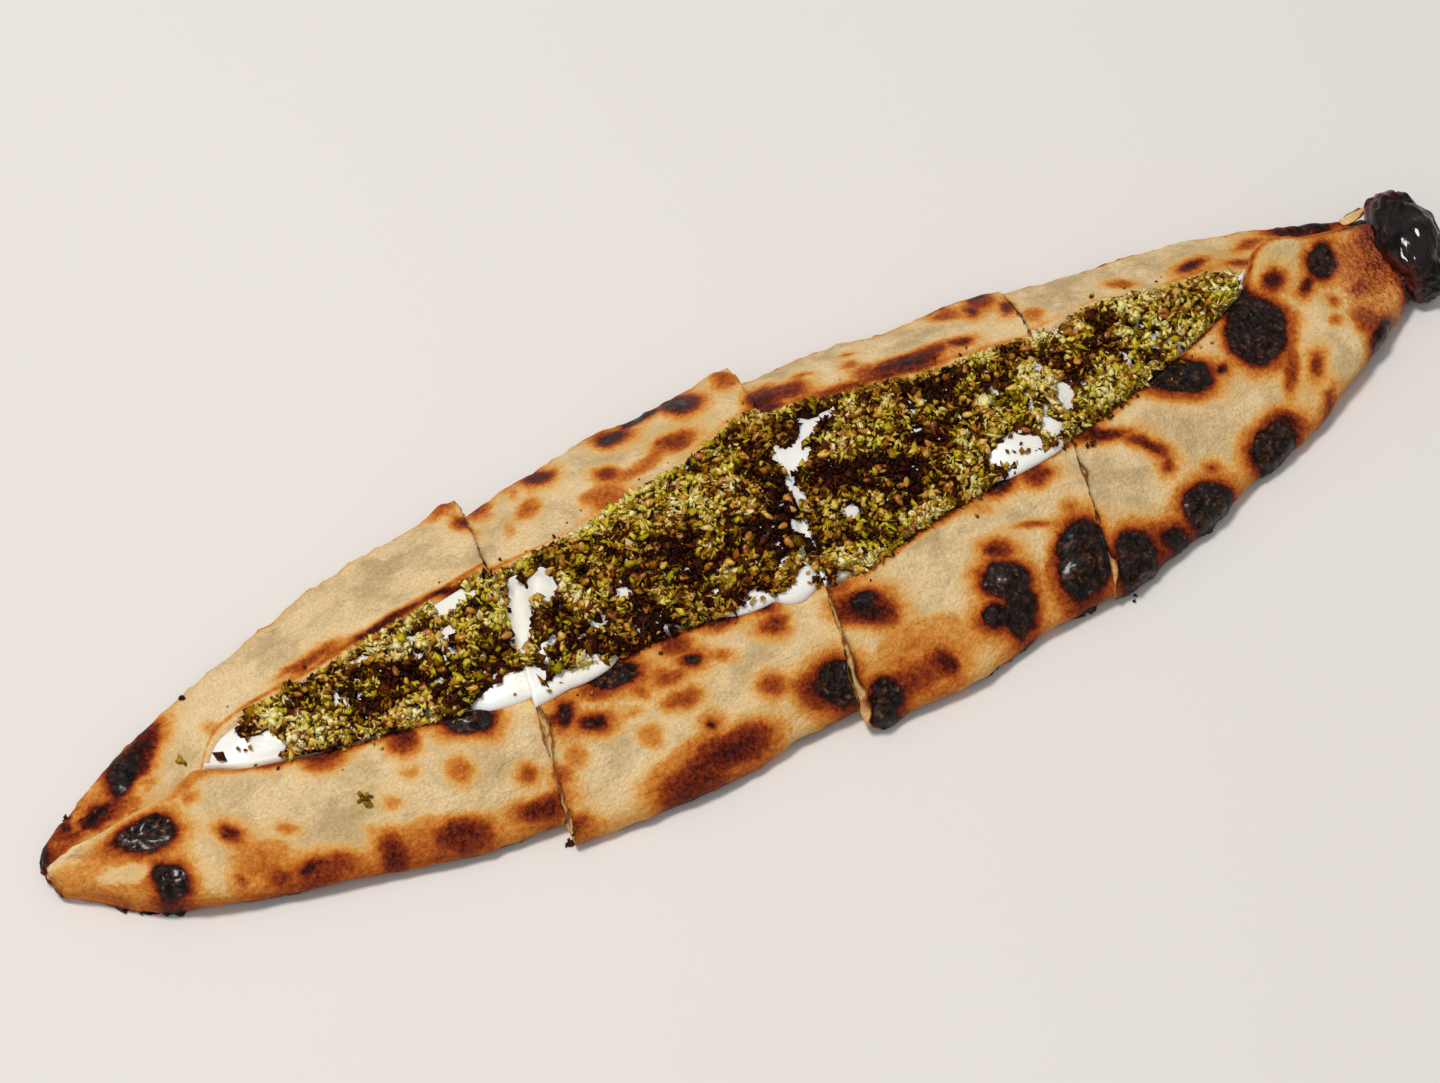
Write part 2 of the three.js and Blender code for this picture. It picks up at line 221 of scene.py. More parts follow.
# The middle of the dough, from the near lip round under the base to the far lip.
# s is a column of stations. Gives y, z, outY, outZ, fromLip and each point's part of the sheet.
def sheetLine(index, s, flapSteps, foldSteps, baseSteps):
    s = np.asarray(s, float).reshape(-1, 1)
    sheet = thickness(s)
    near, far = lips(index, s)
    opened = smooth(0, lap["lift"], mouthHalf(s))
    farTop = 1.5 * sheet + np.maximum(filling["gap"], fillHeight(s))
    overFar = (sheet + filling["gap"]) * (1 - opened) + lap["climb"] * np.maximum(0, near - far)
    slack = mix(dough["foldSlack"], sheet + 2 * filling["gap"], lapped(s))
    crown = dough["crown"] * opened
    a = flapLine(
        boat["edgeWave"] * wave(s, 2) - halfWidth(s), near, farTop + overFar, (sheet + slack) / 2,
        sheet, crown, flapSteps, foldSteps,
    )
    b = flapLine(
        boat["edgeWave"] * wave(s, 3) - halfWidth(s), -far, farTop, (sheet + dough["foldSlack"]) / 2,
        sheet, crown, flapSteps, foldSteps,
    )
    b = [v[:, ::-1] for v in b]
    b[0], b[2] = -b[0], -b[2]
    foot, farFoot = a[0][:, -1:], b[0][:, :1]
    flat = np.ones((len(s), len(baseSteps)))
    middle = (mix(foot, farFoot, baseSteps), flat * sheet / 2, 0 * flat, -flat, 1000 * flat)
    parts = np.repeat(
        [nearFlap, nearFold, base, farFold, farFlap],
        [flapSteps.size, foldSteps.size, baseSteps.size, foldSteps.size, flapSteps.size],
    )
    return [np.concatenate([x, y, z], 1) for x, y, z in zip(a, middle, b)] + [parts]


# Faces between neighbours in a grid of vertex numbers. Corners that coincide give triangles.
def gridFaces(grid, flip=False):
    a, b, c, d = grid[:-1, :-1], grid[:-1, 1:], grid[1:, 1:], grid[1:, :-1]
    quads = np.stack([a, b, c, d], -1).reshape(-1, 4)
    return quads[:, ::-1] if flip else quads


def closeTriangles(triangles):
    return np.concatenate([triangles, triangles[:, :1]], 1)


def makeMesh(name, points, quads, materials, values=None, faceMaterial=None, smoothed=True):
    same = quads == np.roll(quads, -1, axis=1)
    keep = ~same  # a corner equal to the next one is left out
    counts = keep.sum(1)
    whole = counts > 2
    quads, keep, counts = quads[whole], keep[whole], counts[whole]
    mesh = bpy.data.meshes.new(name)
    mesh.vertices.add(len(points))
    shifted = points + np.array([boatMiddle[0], boatMiddle[1], 0])
    mesh.vertices.foreach_set("co", (shifted * mm).astype(np.float32).ravel())
    mesh.loops.add(int(counts.sum()))
    mesh.loops.foreach_set("vertex_index", quads[keep].astype(np.int32))
    mesh.polygons.add(len(quads))
    starts = np.concatenate([[0], np.cumsum(counts)[:-1]]).astype(np.int32)
    mesh.polygons.foreach_set("loop_start", starts)
    mesh.update(calc_edges=True)
    for key, value in (values or {}).items():
        attribute = mesh.attributes.new(key, "FLOAT", "POINT")
        attribute.data.foreach_set("value", np.asarray(value, np.float32).ravel())
    for material in materials:
        mesh.materials.append(material)
    if faceMaterial is not None:
        mesh.polygons.foreach_set("material_index", faceMaterial[whole].astype(np.int32))
    if smoothed:
        mesh.shade_smooth()
    mesh.validate()
    piece = bpy.data.objects.new(name, mesh)
    bpy.context.scene.collection.objects.link(piece)
    return piece


# Materials

def srgb(r, g, b):
    def linear(v):
        v /= 255
        return v / 12.92 if v <= 0.04045 else ((v + 0.055) / 1.055) ** 2.4

    return (linear(r), linear(g), linear(b), 1)


class Shader:  # a short way to add nodes and links to one tree
    def __init__(self, tree):
        self.tree = tree
        self.column = 0

    def add(self, kind, inputs=None, **settings):
        node = self.tree.nodes.new(kind)
        self.column += 1
        node.location = (self.column % 8 * 190, -(self.column // 8) * 260)
        for key, value in settings.items():
            setattr(node, key, value)
        for key, value in (inputs or {}).items():
            if isinstance(value, bpy.types.NodeSocket):
                self.tree.links.new(value, node.inputs[key])
            else:
                node.inputs[key].default_value = value
        return node

    def math(self, operation, a, b=0.0, c=0.0, clamp=False):
        node = self.add("ShaderNodeMath", {0: a, 1: b, 2: c}, operation=operation, use_clamp=clamp)
        return node.outputs[0]

    def range(self, value, low, high, toLow=0.0, toHigh=1.0):
        limits = {"From Min": low, "From Max": high, "To Min": toLow, "To Max": toHigh}
        inputs = {"Value": value, **limits}
        node = self.add("ShaderNodeMapRange", inputs, interpolation_type="SMOOTHSTEP")
        return node.outputs["Result"]

    def blend(self, factor, a, b, mode="MIX"):
        colours = {0: factor, 6: a, 7: b}
        node = self.add("ShaderNodeMix", colours, data_type="RGBA", blend_type=mode)
        return node.outputs[2]

    def ramp(self, factor, stops):
        node = self.add("ShaderNodeValToRGB", {"Fac": factor})
        elements = node.color_ramp.elements
        elements[0].position, elements[0].color = stops[0]
        elements[1].position, elements[1].color = stops[-1]
        for position, colour in stops[1:-1]:
            elements.new(position).color = colour
        return node.outputs["Color"]

    def noise(self, vector, scale, detail=3.0, roughness=0.55, distortion=0.0):
        inputs = {
            "Vector": vector, "Scale": scale, "Detail": detail,
            "Roughness": roughness, "Distortion": distortion,
        }
        return self.add("ShaderNodeTexNoise", inputs).outputs["Fac"]

    def bump(self, height, strength, distance):
        settings = {"Height": height, "Strength": strength, "Distance": distance}
        return self.add("ShaderNodeBump", settings).outputs["Normal"]

    def link(self, output, socket):
        self.tree.links.new(output, socket)

    def value(self, name):
        return self.add("ShaderNodeAttribute", attribute_name=name).outputs["Fac"]

    def place(self):
        return self.add("ShaderNodeTexCoord").outputs["Object"]

    def group(self, tree, inputs):
        return self.add("ShaderNodeGroup", inputs, node_tree=tree)


def newGroup(name, inputs, outputs):
    tree = bpy.data.node_groups.new(name, "ShaderNodeTree")
    for key, kind, value in inputs:
        socket = tree.interface.new_socket(key, in_out="INPUT", socket_type=kind)
        if value is not None:
            socket.default_value = value
    for key, kind in outputs:
        tree.interface.new_socket(key, in_out="OUTPUT", socket_type=kind)
    shader = Shader(tree)
    return shader, shader.add("NodeGroupInput").outputs, shader.add("NodeGroupOutput").inputs


def newMaterial(name, **settings):
    material = bpy.data.materials.new(name)
    material.use_nodes = True
    shader = Shader(material.node_tree)
    principled = material.node_tree.nodes["Principled BSDF"]
    for key, value in settings.items():
        principled.inputs[key].default_value = value
    return material, shader, principled.inputs


# uneven tint: lightens and darkens a colour in patches and in fine specks
def makeMottle():
    shader, given, out = newGroup(
        "Mottle",
        [
            ("Position", "NodeSocketVector", None),
            ("Colour", "NodeSocketColor", (0.8, 0.8, 0.8, 1)),
            ("Patch colour", "NodeSocketColor", (0.5, 0.5, 0.5, 1)),
            ("Patch scale", "NodeSocketFloat", 90.0),
            ("Patch amount", "NodeSocketFloat", 0.5),
            ("Speck scale", "NodeSocketFloat", 900.0),
            ("Speck amount", "NodeSocketFloat", 0.15),
        ],
        [("Colour", "NodeSocketColor"), ("Specks", "NodeSocketFloat")],
    )
    patches = shader.noise(given["Position"], given["Patch scale"], 4, 0.6, 0.4)
    amount = shader.math("MULTIPLY", shader.range(patches, 0.42, 0.66), given["Patch amount"])
    tinted = shader.blend(amount, given["Colour"], given["Patch colour"])
    specks = shader.noise(given["Position"], given["Speck scale"], 3, 0.65)
    light = shader.math("SUBTRACT", specks, 0.5)
    light = shader.math("MULTIPLY_ADD", light, given["Speck amount"], 1.0)
    grey = shader.add("ShaderNodeCombineColor", {0: light, 1: light, 2: light}).outputs[0]
    shader.link(shader.blend(1.0, tinted, grey, "MULTIPLY"), out["Colour"])
    shader.link(specks, out["Specks"])
    return shader.tree


# crackle and grain of a surface, as a height
def makeGrain():
    shader, given, out = newGroup(
        "Grain",
        [
            ("Position", "NodeSocketVector", None),
            ("Fine scale", "NodeSocketFloat", 1500.0),
            ("Fine amount", "NodeSocketFloat", 1.0),
            ("Crackle scale", "NodeSocketFloat", 700.0),
            ("Crackle", "NodeSocketFloat", 0.0),
        ],
        [("Height", "NodeSocketFloat"), ("Cracks", "NodeSocketFloat")],
    )
    where = given["Position"]
    fine = shader.noise(where, given["Fine scale"], 4, 0.6)
    fine = shader.math("MULTIPLY", fine, given["Fine amount"])
    wobble = shader.add("ShaderNodeTexNoise", {"Vector": where, "Scale": 500.0}).outputs["Color"]
    wobbled = {0: wobble, 1: (0.002, 0.002, 0.002), 2: where}
    moved = shader.add("ShaderNodeVectorMath", wobbled, operation="MULTIPLY_ADD").outputs[0]
    spaced = {"Vector": moved, "Scale": given["Crackle scale"]}
    cells = shader.add("ShaderNodeTexVoronoi", spaced, feature="SMOOTH_F1").outputs["Distance"]
    cracks = shader.range(cells, 0.15, 0.75)
    depth = shader.math("MULTIPLY", cracks, given["Crackle"])
    height = shader.math("MULTIPLY_ADD", depth, -1.0, fine)
    shader.link(height, out["Height"])
    shader.link(cracks, out["Cracks"])
    return shader.tree


mottle = makeMottle()
grain = makeGrain()

crustLook = dict(
    cream=srgb(234, 203, 152),
    sallow=srgb(186, 158, 112),
    flour=srgb(244, 220, 176),
    burnt=[  # colour by how burnt the crust is
        (0.00, srgb(238, 202, 142)),
        (0.18, srgb(230, 178, 102)),
        (0.34, srgb(214, 138, 54)),
        (0.50, srgb(184, 92, 22)),
        (0.64, srgb(136, 50, 10)),
        (0.76, srgb(92, 24, 8)),
        (0.88, srgb(48, 15, 9)),
        (1.00, srgb(24, 12, 8)),
    ],
    coalAndGlints=[  # colour inside the blisters: the char's own near-black, with painted shade in the crevices up to painted highlights on the lit ridges
        (0.26, srgb(6, 2, 1)),
        (0.46, srgb(22, 9, 4)),
        (0.64, srgb(58, 30, 16)),
        (0.88, srgb(134, 98, 68)),
    ],
    crumb=srgb(240, 196, 132),
    oil=srgb(190, 172, 84),
)


def makeCrust(name, gloss):
    material, shader, principled = newMaterial(name)
    principled["Specular IOR Level"].default_value = gloss
    principled["Coat Roughness"].default_value = 0.2
    where = shader.place()
    burn, crumb, oil = shader.value("burn"), shader.value("crumb"), shader.value("oil")
    tint = shader.group(mottle, {
        "Position": where, "Colour": crustLook["cream"], "Patch colour": crustLook["sallow"],
        "Patch scale": 75, "Patch amount": 0.8, "Speck scale": 1500, "Speck amount": 0.95,
    })
    flour = shader.range(shader.noise(where, 190, 4, 0.7), 0.5, 0.72, 0.0, 0.6)
    floury = shader.blend(flour, tint.outputs["Colour"], crustLook["flour"])
    oiled = shader.blend(shader.math("MULTIPLY", oil, 0.7), floury, crustLook["oil"])
    breakUp = shader.math("SUBTRACT", shader.noise(where, 900, 4, 0.75), 0.5)
    strength = shader.range(burn, 0.02, 0.3, 0.0, 0.6)
    roughly = shader.math("MULTIPLY_ADD", breakUp, strength, burn, clamp=True)
    toasted = shader.ramp(roughly, crustLook["burnt"])
    baked = shader.blend(shader.range(roughly, 0.03, 0.26), oiled, toasted)
    crackled = shader.math("MAXIMUM", shader.range(roughly, 0.7, 0.95, 0.0, 0.6), shader.value("glaze"))
    fineness = shader.range(roughly, 0.7, 0.9, 1.0, 0.35)
    relief = shader.group(grain, {
        "Position": where, "Crackle": crackled, "Fine amount": fineness, "Fine scale": 1200,
        "Crackle scale": 900,
    })
    # Painted light in the blisters: each crackle cell is lighter in its middle as a painted highlight and
    # darker at its rim as painted shade, with patches and fine specks of painted glints.
    glintZones = shader.math("MULTIPLY_ADD", shader.noise(where, 300, 2, 0.5), 0.6, 0.03)
    bubbleShade = shader.math("MULTIPLY_ADD", relief.outputs["Cracks"], -0.34, glintZones)
    paintedGlint = shader.math("MULTIPLY_ADD", shader.noise(where, 1300, 3, 0.75), 0.6, bubbleShade)
    coalAndGlints = shader.ramp(paintedGlint, crustLook["coalAndGlints"])
    charred = shader.blend(shader.range(roughly, 0.76, 0.9), baked, coalAndGlints)
    torn = shader.blend(shader.math("MULTIPLY", crumb, 0.85), charred, crustLook["crumb"])
    shader.link(torn, principled["Base Color"])
    dull = shader.range(roughly, 0.2, 1.0, 0.62, 0.42)
    wetness = shader.math("MULTIPLY_ADD", shader.value("glaze"), -0.6, 1.0)
    shader.link(shader.math("MULTIPLY", dull, wetness), principled["Roughness"])
    glossy = shader.range(shader.noise(where, 420, 3, 0.6), 0.42, 0.58)
    shine = shader.math("MULTIPLY", shader.range(roughly, 0.78, 0.94, 0.0, 0.42), glossy)
    shader.link(shine, principled["Coat Weight"])
    stretch = {0: where, 1: (0.3, 1, 1)}  # creases run along the boat
    stretched = shader.add("ShaderNodeVectorMath", stretch, operation="MULTIPLY").outputs[0]
    creases = shader.noise(stretched, 420, 3, 0.6, 0.8)
    creased = shader.math("MULTIPLY_ADD", creases, 0.9, relief.outputs["Height"])
    height = shader.math("MULTIPLY_ADD", crumb, shader.noise(where, 900, 3, 0.7), creased)
    shader.link(shader.bump(height, 0.9, 0.0007), principled["Normal"])
    return material


def makeChar():
    material, shader, principled = newMaterial("Tarry char")
    principled["Specular IOR Level"].default_value = 0.1
    principled["Coat Roughness"].default_value = 0.05
    where = shader.place()
    tint = shader.group(mottle, {
        "Position": where, "Colour": srgb(10, 5, 3), "Patch colour": srgb(46, 22, 12),
        "Patch scale": 160, "Patch amount": 0.45, "Speck amount": 0.8,
    })
    rusty = shader.blend(shader.value("rust"), tint.outputs["Colour"], srgb(78, 22, 8))
    shader.link(rusty, principled["Base Color"])
    wet = shader.range(shader.noise(where, 180, 3, 0.6), 0.42, 0.52)
    wet = shader.math("MAXIMUM", wet, shader.value("glaze"))
    shader.link(shader.range(wet, 0.0, 1.0, 0.05, 0.5), principled["Coat Weight"])
    shader.link(shader.range(wet, 0.0, 1.0, 0.6, 0.4), principled["Roughness"])
    relief = shader.group(grain, {"Position": where, "Crackle": 1.4, "Crackle scale": 420})
    shader.link(shader.bump(relief.outputs["Height"], 0.5, 0.0008), principled["Normal"])
    return material


def makeLabneh():
    material, shader, principled = newMaterial("Labneh")
    principled["Subsurface Weight"].default_value = 0.25
    principled["Subsurface Radius"].default_value = (0.004, 0.003, 0.002)
    principled["Subsurface Scale"].default_value = 0.5
    principled["Coat Weight"].default_value = 0.15
    where = shader.place()
    tint = shader.group(mottle, {
        "Position": where, "Colour": srgb(253, 251, 244), "Patch colour": srgb(244, 240, 226),
        "Patch scale": 120, "Patch amount": 0.6, "Speck amount": 0.04,
    })
    shader.link(tint.outputs["Colour"], principled["Base Color"])
    dullness = shader.range(tint.outputs["Specks"], 0.3, 0.7, 0.26, 0.42)
    shader.link(dullness, principled["Roughness"])
    streaks = shader.noise(where, 260, 3, 0.5, 1.2)
    shader.link(shader.bump(streaks, 0.35, 0.0006), principled["Normal"])
    return material


herbLook = dict(
    dry=[  # dry leaf, stalk and sesame hull by tone; the palest stops stand for painted highlights as well as pale leaf
        (0.00, srgb(34, 3, 0)),
        (0.20, srgb(76, 22, 0)),
        (0.40, srgb(124, 58, 0)),
        (0.55, srgb(166, 100, 12)),
        (0.70, srgb(204, 146, 48)),
        (0.85, srgb(238, 196, 100)),
        (1.00, srgb(255, 240, 184)),
    ],
    olive=[  # greener leaf; the palest stops stand for painted highlights as well as pale leaf
        (0.00, srgb(30, 6, 0)),
        (0.20, srgb(66, 30, 0)),
        (0.40, srgb(114, 84, 0)),
        (0.55, srgb(158, 134, 0)),
        (0.70, srgb(204, 184, 20)),
        (0.85, srgb(234, 214, 66)),
        (1.00, srgb(252, 240, 146)),
    ],
)


def makeHerb():
    material, shader, principled = newMaterial("Dried herbs")
    principled["Specular IOR Level"].default_value = 0.08
    principled["Coat Weight"].default_value = 0.05
    principled["Coat Roughness"].default_value = 0.2
    where = shader.place()
    tone = shader.value("tone")
    dry, olive = shader.ramp(tone, herbLook["dry"]), shader.ramp(tone, herbLook["olive"])
    leaf = shader.blend(shader.value("green"), dry, olive)
    tint = shader.group(mottle, {
        "Position": where, "Colour": leaf, "Patch colour": srgb(60, 30, 8), "Patch scale": 800,
        "Patch amount": 0.3, "Speck scale": 2200, "Speck amount": 0.6,
    })
    shader.link(tint.outputs["Colour"], principled["Base Color"])
    dullness = shader.range(tint.outputs["Specks"], 0.3, 0.7, 0.38, 0.65)
    shader.link(dullness, principled["Roughness"])
    relief = shader.group(grain, {"Position": where, "Crackle": 0.8, "Crackle scale": 1500})
    shader.link(shader.bump(relief.outputs["Height"], 0.6, 0.0003), principled["Normal"])
    return material


def makeSesame():
    material, shader, principled = newMaterial("Toasted sesame")
    principled["Coat Weight"].default_value = 0.3
    principled["Coat Roughness"].default_value = 0.25
    where = shader.place()
    hull = shader.ramp(shader.value("tone"), [
        (0.00, srgb(116, 50, 4)),
        (0.35, srgb(176, 100, 10)),
        (0.70, srgb(212, 148, 28)),
        (1.00, srgb(238, 194, 84)),
    ])
    tint = shader.group(mottle, {
        "Position": where, "Colour": hull, "Patch colour": srgb(130, 72, 12),
        "Patch scale": 500, "Patch amount": 0.5,
    })
    shader.link(tint.outputs["Colour"], principled["Base Color"])
    dullness = shader.range(tint.outputs["Specks"], 0.3, 0.7, 0.3, 0.5)
    shader.link(dullness, principled["Roughness"])
    shader.link(shader.bump(tint.outputs["Specks"], 0.2, 0.0002), principled["Normal"])
    return material


def makeSumac():
    material, shader, principled = newMaterial("Sumac")
    principled["Coat Weight"].default_value = 0.3
    where = shader.place()
    tint = shader.group(mottle, {
        "Position": where, "Colour": srgb(168, 40, 30), "Patch colour": srgb(96, 20, 22),
        "Patch scale": 700,
    })
    shader.link(tint.outputs["Colour"], principled["Base Color"])
    dullness = shader.range(tint.outputs["Specks"], 0.3, 0.7, 0.35, 0.6)
    shader.link(dullness, principled["Roughness"])
    shader.link(shader.bump(tint.outputs["Specks"], 0.3, 0.0002), principled["Normal"])
    return material


def makeFloorLook():
    material, shader, principled = newMaterial("Pale floor", Roughness=0.9)
    where = shader.place()
    tint = shader.group(mottle, {
        "Position": where, "Colour": srgb(231, 227, 222), "Patch colour": srgb(229, 225, 219),
        "Patch scale": 3, "Speck scale": 300, "Speck amount": 0.01,
    })
    shader.link(tint.outputs["Colour"], principled["Base Color"])
    return material


crust = makeCrust("Baked crust", 0.12)
glazedCrust = makeCrust("Glazed crust", 0.42)
char = makeChar()
labneh = makeLabneh()
herb = makeHerb()
sesame = makeSesame()
sumac = makeSumac()
print("materials ready")


# How deep inside any of the patches each point lies, 0 outside to 1.
def inPatches(points, patches, blur=0.9):
    x = points[..., 0] + 1.1 * noise(points, 3.5, 81) + 0.6 * noise(points, 1.3, 83)
    y = points[..., 1] + 1.1 * noise(points, 3.5, 82) + 0.6 * noise(points, 1.3, 84)
    most = np.zeros(x.shape)
    for patchX, patchY, longSide, shortSide, turn, strength in patches:
        c, s = math.cos(math.radians(turn)), math.sin(math.radians(turn))
        u, v = (x - patchX) * c + (y - patchY) * s, (y - patchY) * c - (x - patchX) * s
        past = (np.hypot(u / longSide, v / shortSide) - 1) * min(shortSide, 3)
        most = np.maximum(most, strength * smooth(blur, -blur, past))
    return most


tornPatches = [(-157, -11, 5, 1.6, -10, 1)]
glazedPatches = [(153, -2, 13, 8.5, 55, 1)]

# Scorch marks on the crust: x, y, half length, half width, turn in degrees, and how burnt,
# from 0.3 for a golden spot to 1 for a black blister.
nearMarks = [
    (-150, -5, 6, 4, -25, 1), (-149.5, -16.6, 2.9, 2.7, -40, 1), (-134, -14, 2.4, 1.5, -55, 0.78),
    (-139, -3, 1.4, 1, -25, 0.4), (-124, -18, 2.2, 1, -30, 0.4), (-131, -21, 6, 3, -10, 0.34),
    (-123, -27, 2, 1, -10, 0.85), (-137, -23, 1.4, 1, -20, 0.55), (-129, -26, 2.2, 1.6, -25, 0.55),
    (-144, 0, 6, 1.5, -5, 0.5), (-120, -4, 2.6, 1.4, -10, 0.5), (-111, -8, 4, 2.2, -15, 0.62),
    (-82, -15, 4.6, 3, -25, 1), (-95, -12, 2.8, 2.6, 85, 0.72), (-97, -19, 1.7, 1, -30, 0.35),
    (-88, -24, 2.5, 2, -35, 0.48), (-76, -30, 1.5, 1.1, -20, 0.6), (-66, -16, 1.7, 1.5, 70, 0.4),
    (-103, -23, 1.6, 1, -25, 0.38), (-109, -26, 1, 1, 0, 0.3), (-93, -35, 6, 3, -15, 0.7),
    (-99, -32, 6, 3, -15, 0.34), (-107, -31, 2.8, 2.5, 55, 0.66), (-76, -37, 5, 2.1, -10, 0.74),
    (-70, -34, 2.2, 2, -30, 0.55), (-120, -29, 5.5, 2.2, -10, 0.56),
    (-64, -23, 3, 2.2, 60, 0.88), (-59, -27, 2.8, 1.8, -5, 0.88), (-65, -32, 2.3, 2.1, 5, 0.4),
    (-50, -20, 4.4, 2.1, -15, 1), (-53, -21, 6, 2, -10, 0.6), (-51, -28, 2, 0.8, -10, 0.32),
    (-70, -43, 2.2, 1.8, -15, 0.6), (-24, -18, 4.8, 2.1, -5, 0.78), (-36, -19, 2.8, 2.2, -10, 0.68),
    (-16, -25, 2.8, 2.3, -20, 0.68), (-34, -24, 1.1, 1, -20, 0.97), (-29, -26, 2.5, 1.4, -20, 0.42),
    (-40, -25, 3, 1.3, -10, 0.58), (-40, -30, 3, 1.6, -10, 0.62), (-47, -25, 1.4, 1, -20, 0.5),
    (-22, -36, 2.8, 2, -15, 0.62), (-9, -40, 4.2, 3.7, 15, 1), (-12, -40, 6, 4.5, -10, 0.74),
    (-16, -20, 1.6, 1, -55, 0.85), (-35, -43, 8, 3.3, 0, 0.74), (-46, -45, 7, 3, 0, 0.66),
    (-40, -44, 15, 5.5, 0, 0.42), (-49, -34, 2.6, 2.1, -15, 0.4), (-37, -37, 0.6, 0.5, 0, 0.9),
    (4, -30, 6.5, 3.4, -25, 0.82), (4, -28, 3, 1.5, -5, 0.96), (1, -24, 2.1, 1.6, -15, 0.45),
    (-2, -48, 4.1, 3.5, 40, 1), (6, -46, 10, 2.6, 5, 0.6), (14, -46, 2.2, 2, 40, 0.74),
    (11, -43, 12, 7.5, 0, 0.34), (5, -42, 2.7, 1.5, -20, 0.45), (10, -40, 1.6, 1, -15, 0.4),
    (34, -36, 4.7, 3.5, -10, 1), (34, -43, 4.8, 3.2, 50, 1), (28, -42, 2.7, 2.1, 0, 0.95),
    (36, -30, 2.5, 1.7, -15, 0.75), (52, -38, 8, 5, 55, 1), (50, -39, 8.8, 6.2, 45, 0.64),
    (55, -27, 1.4, 1.2, 10, 0.5), (46, -28, 3.8, 0.5, -15, 0.6), (44, -16, 3.3, 1.8, 5, 0.88),
    (53, -18, 3.7, 2.3, -10, 0.72), (38, -20, 1.3, 1, -15, 0.3), (36, -13, 4.6, 1.1, 0, 0.5),
    (71, -15, 5.4, 1.3, -15, 0.8), (79, -21, 4, 1.5, -45, 0.78), (81, -26, 1.9, 1.3, 45, 0.66),
    (63, -42, 5.8, 4.4, 40, 1), (74, -41, 3, 2.1, 5, 0.92), (68, -41, 9, 4.6, -5, 0.6),
    (95, -9, 6.7, 4.2, -15, 1), (94, -11, 7.2, 4.3, -15, 0.64), (118, -5, 8.5, 6.4, 45, 1),
    (119, 2, 4.7, 3.8, 45, 0.9), (129, 5, 3, 2.2, 35, 0.82), (119, -6, 9.8, 7.6, 40, 0.6),
    (120, -17, 5, 1.6, 55, 0.66), (105, -11, 1.4, 1.1, 35, 0.9), (143, 6, 4.6, 2.8, 45, 1),
    (136, 1, 2.6, 1.3, 35, 0.82), (139, -5, 1.5, 1.3, 40, 0.55), (136, -10, 1.5, 1.2, 5, 0.5),
    (126, -18, 2.3, 1.2, 55, 0.72), (147, -4, 2.4, 1.9, 0, 0.55), (145, -17, 3.8, 2.3, 50, 0.96),
    (143, -12, 4, 2.5, 65, 0.6), (106, -31, 5.3, 4, 25, 1), (108, -29, 6.6, 5, 35, 0.62),
    (85, -37, 5.6, 4, 15, 1), (83, -37, 6.2, 4.7, 20, 0.55), (90, -30, 1.5, 1.2, -5, 0.6),
    (124, -26, 3.1, 1.2, 40, 0.6), (111, -27, 3.1, 2.2, -5, 0.75), (152, 1, 9, 6.4, 45, 0.42),
    (160, -6, 7, 2.2, 62, 0.8),
]
farMarks = [
    (-144, 14, 8.5, 3.4, 40, 0.86), (-148, 11, 3, 2.2, 55, 0.97), (-156, 6, 2.6, 2.2, 50, 0.75),
    (-160, 4, 5, 2, 25, 0.4), (-167, 3, 3, 1.6, -75, 0.7), (-128, 12, 1.4, 1, -55, 0.35),
    (-60, 33, 3, 1.2, -80, 0.75), (-62, 40, 3, 1.2, 20, 0.5), (-40, 37, 3.3, 2.9, -50, 0.82),
    (-46, 29, 3, 2.1, 50, 0.5), (-54, 38, 4.6, 1.8, 85, 0.55), (-52, 25, 2.2, 1, 70, 0.32),
    (-47, 36, 1.8, 1, 80, 0.35), (-21, 39, 3.8, 2.9, -15, 0.88), (-28, 27, 2.4, 1.8, -55, 0.72),
    (-32, 21, 4.5, 3.5, -25, 0.5), (-20, 26, 7.8, 2.1, 20, 0.48), (-11, 28, 4.5, 2.9, -15, 0.68),
    (-13, 42, 5, 1.8, 10, 0.92), (-4, 39, 4.9, 3.7, -60, 0.88), (7, 39, 3.6, 2.6, 75, 0.55),
    (11, 28, 5.7, 3.4, 70, 0.78), (17, 28, 4.3, 2.8, -20, 0.72), (27, 20, 6.6, 2.7, -15, 0.52),
    (44, 22, 8.5, 2.8, 0, 0.82), (34, 23, 3.2, 2.6, 25, 0.55), (57, 21, 2.6, 1.3, 0, 0.78),
    (22, 31, 1.8, 1.2, -5, 0.5), (33, 28, 1.6, 1.2, 5, 0.5), (35, 33, 1.2, 1, 10, 0.5),
    (61, 34, 2.6, 1.9, -25, 0.6), (66, 31, 1.6, 1.3, 75, 0.78), (70, 35, 4.3, 2.8, 60, 0.74),
    (73, 28, 2.7, 1.3, 60, 0.8), (76, 21, 2.3, 1.9, 75, 0.46), (98, 21, 2.5, 1.1, -25, 0.55),
    (115, 18, 3.3, 1.8, 5, 0.84), (127, 15, 3.1, 1, -15, 0.66), (146, 19, 7, 2.1, -15, 0.82),
    (132, 19, 3.5, 1.3, 0, 0.6), (-103, 14.5, 6, 1.5, 2, 0.62), (-86, 14.5, 7, 1.2, 2, 0.66),
    (-70, 15.5, 6, 1.0, 0, 0.78),
]
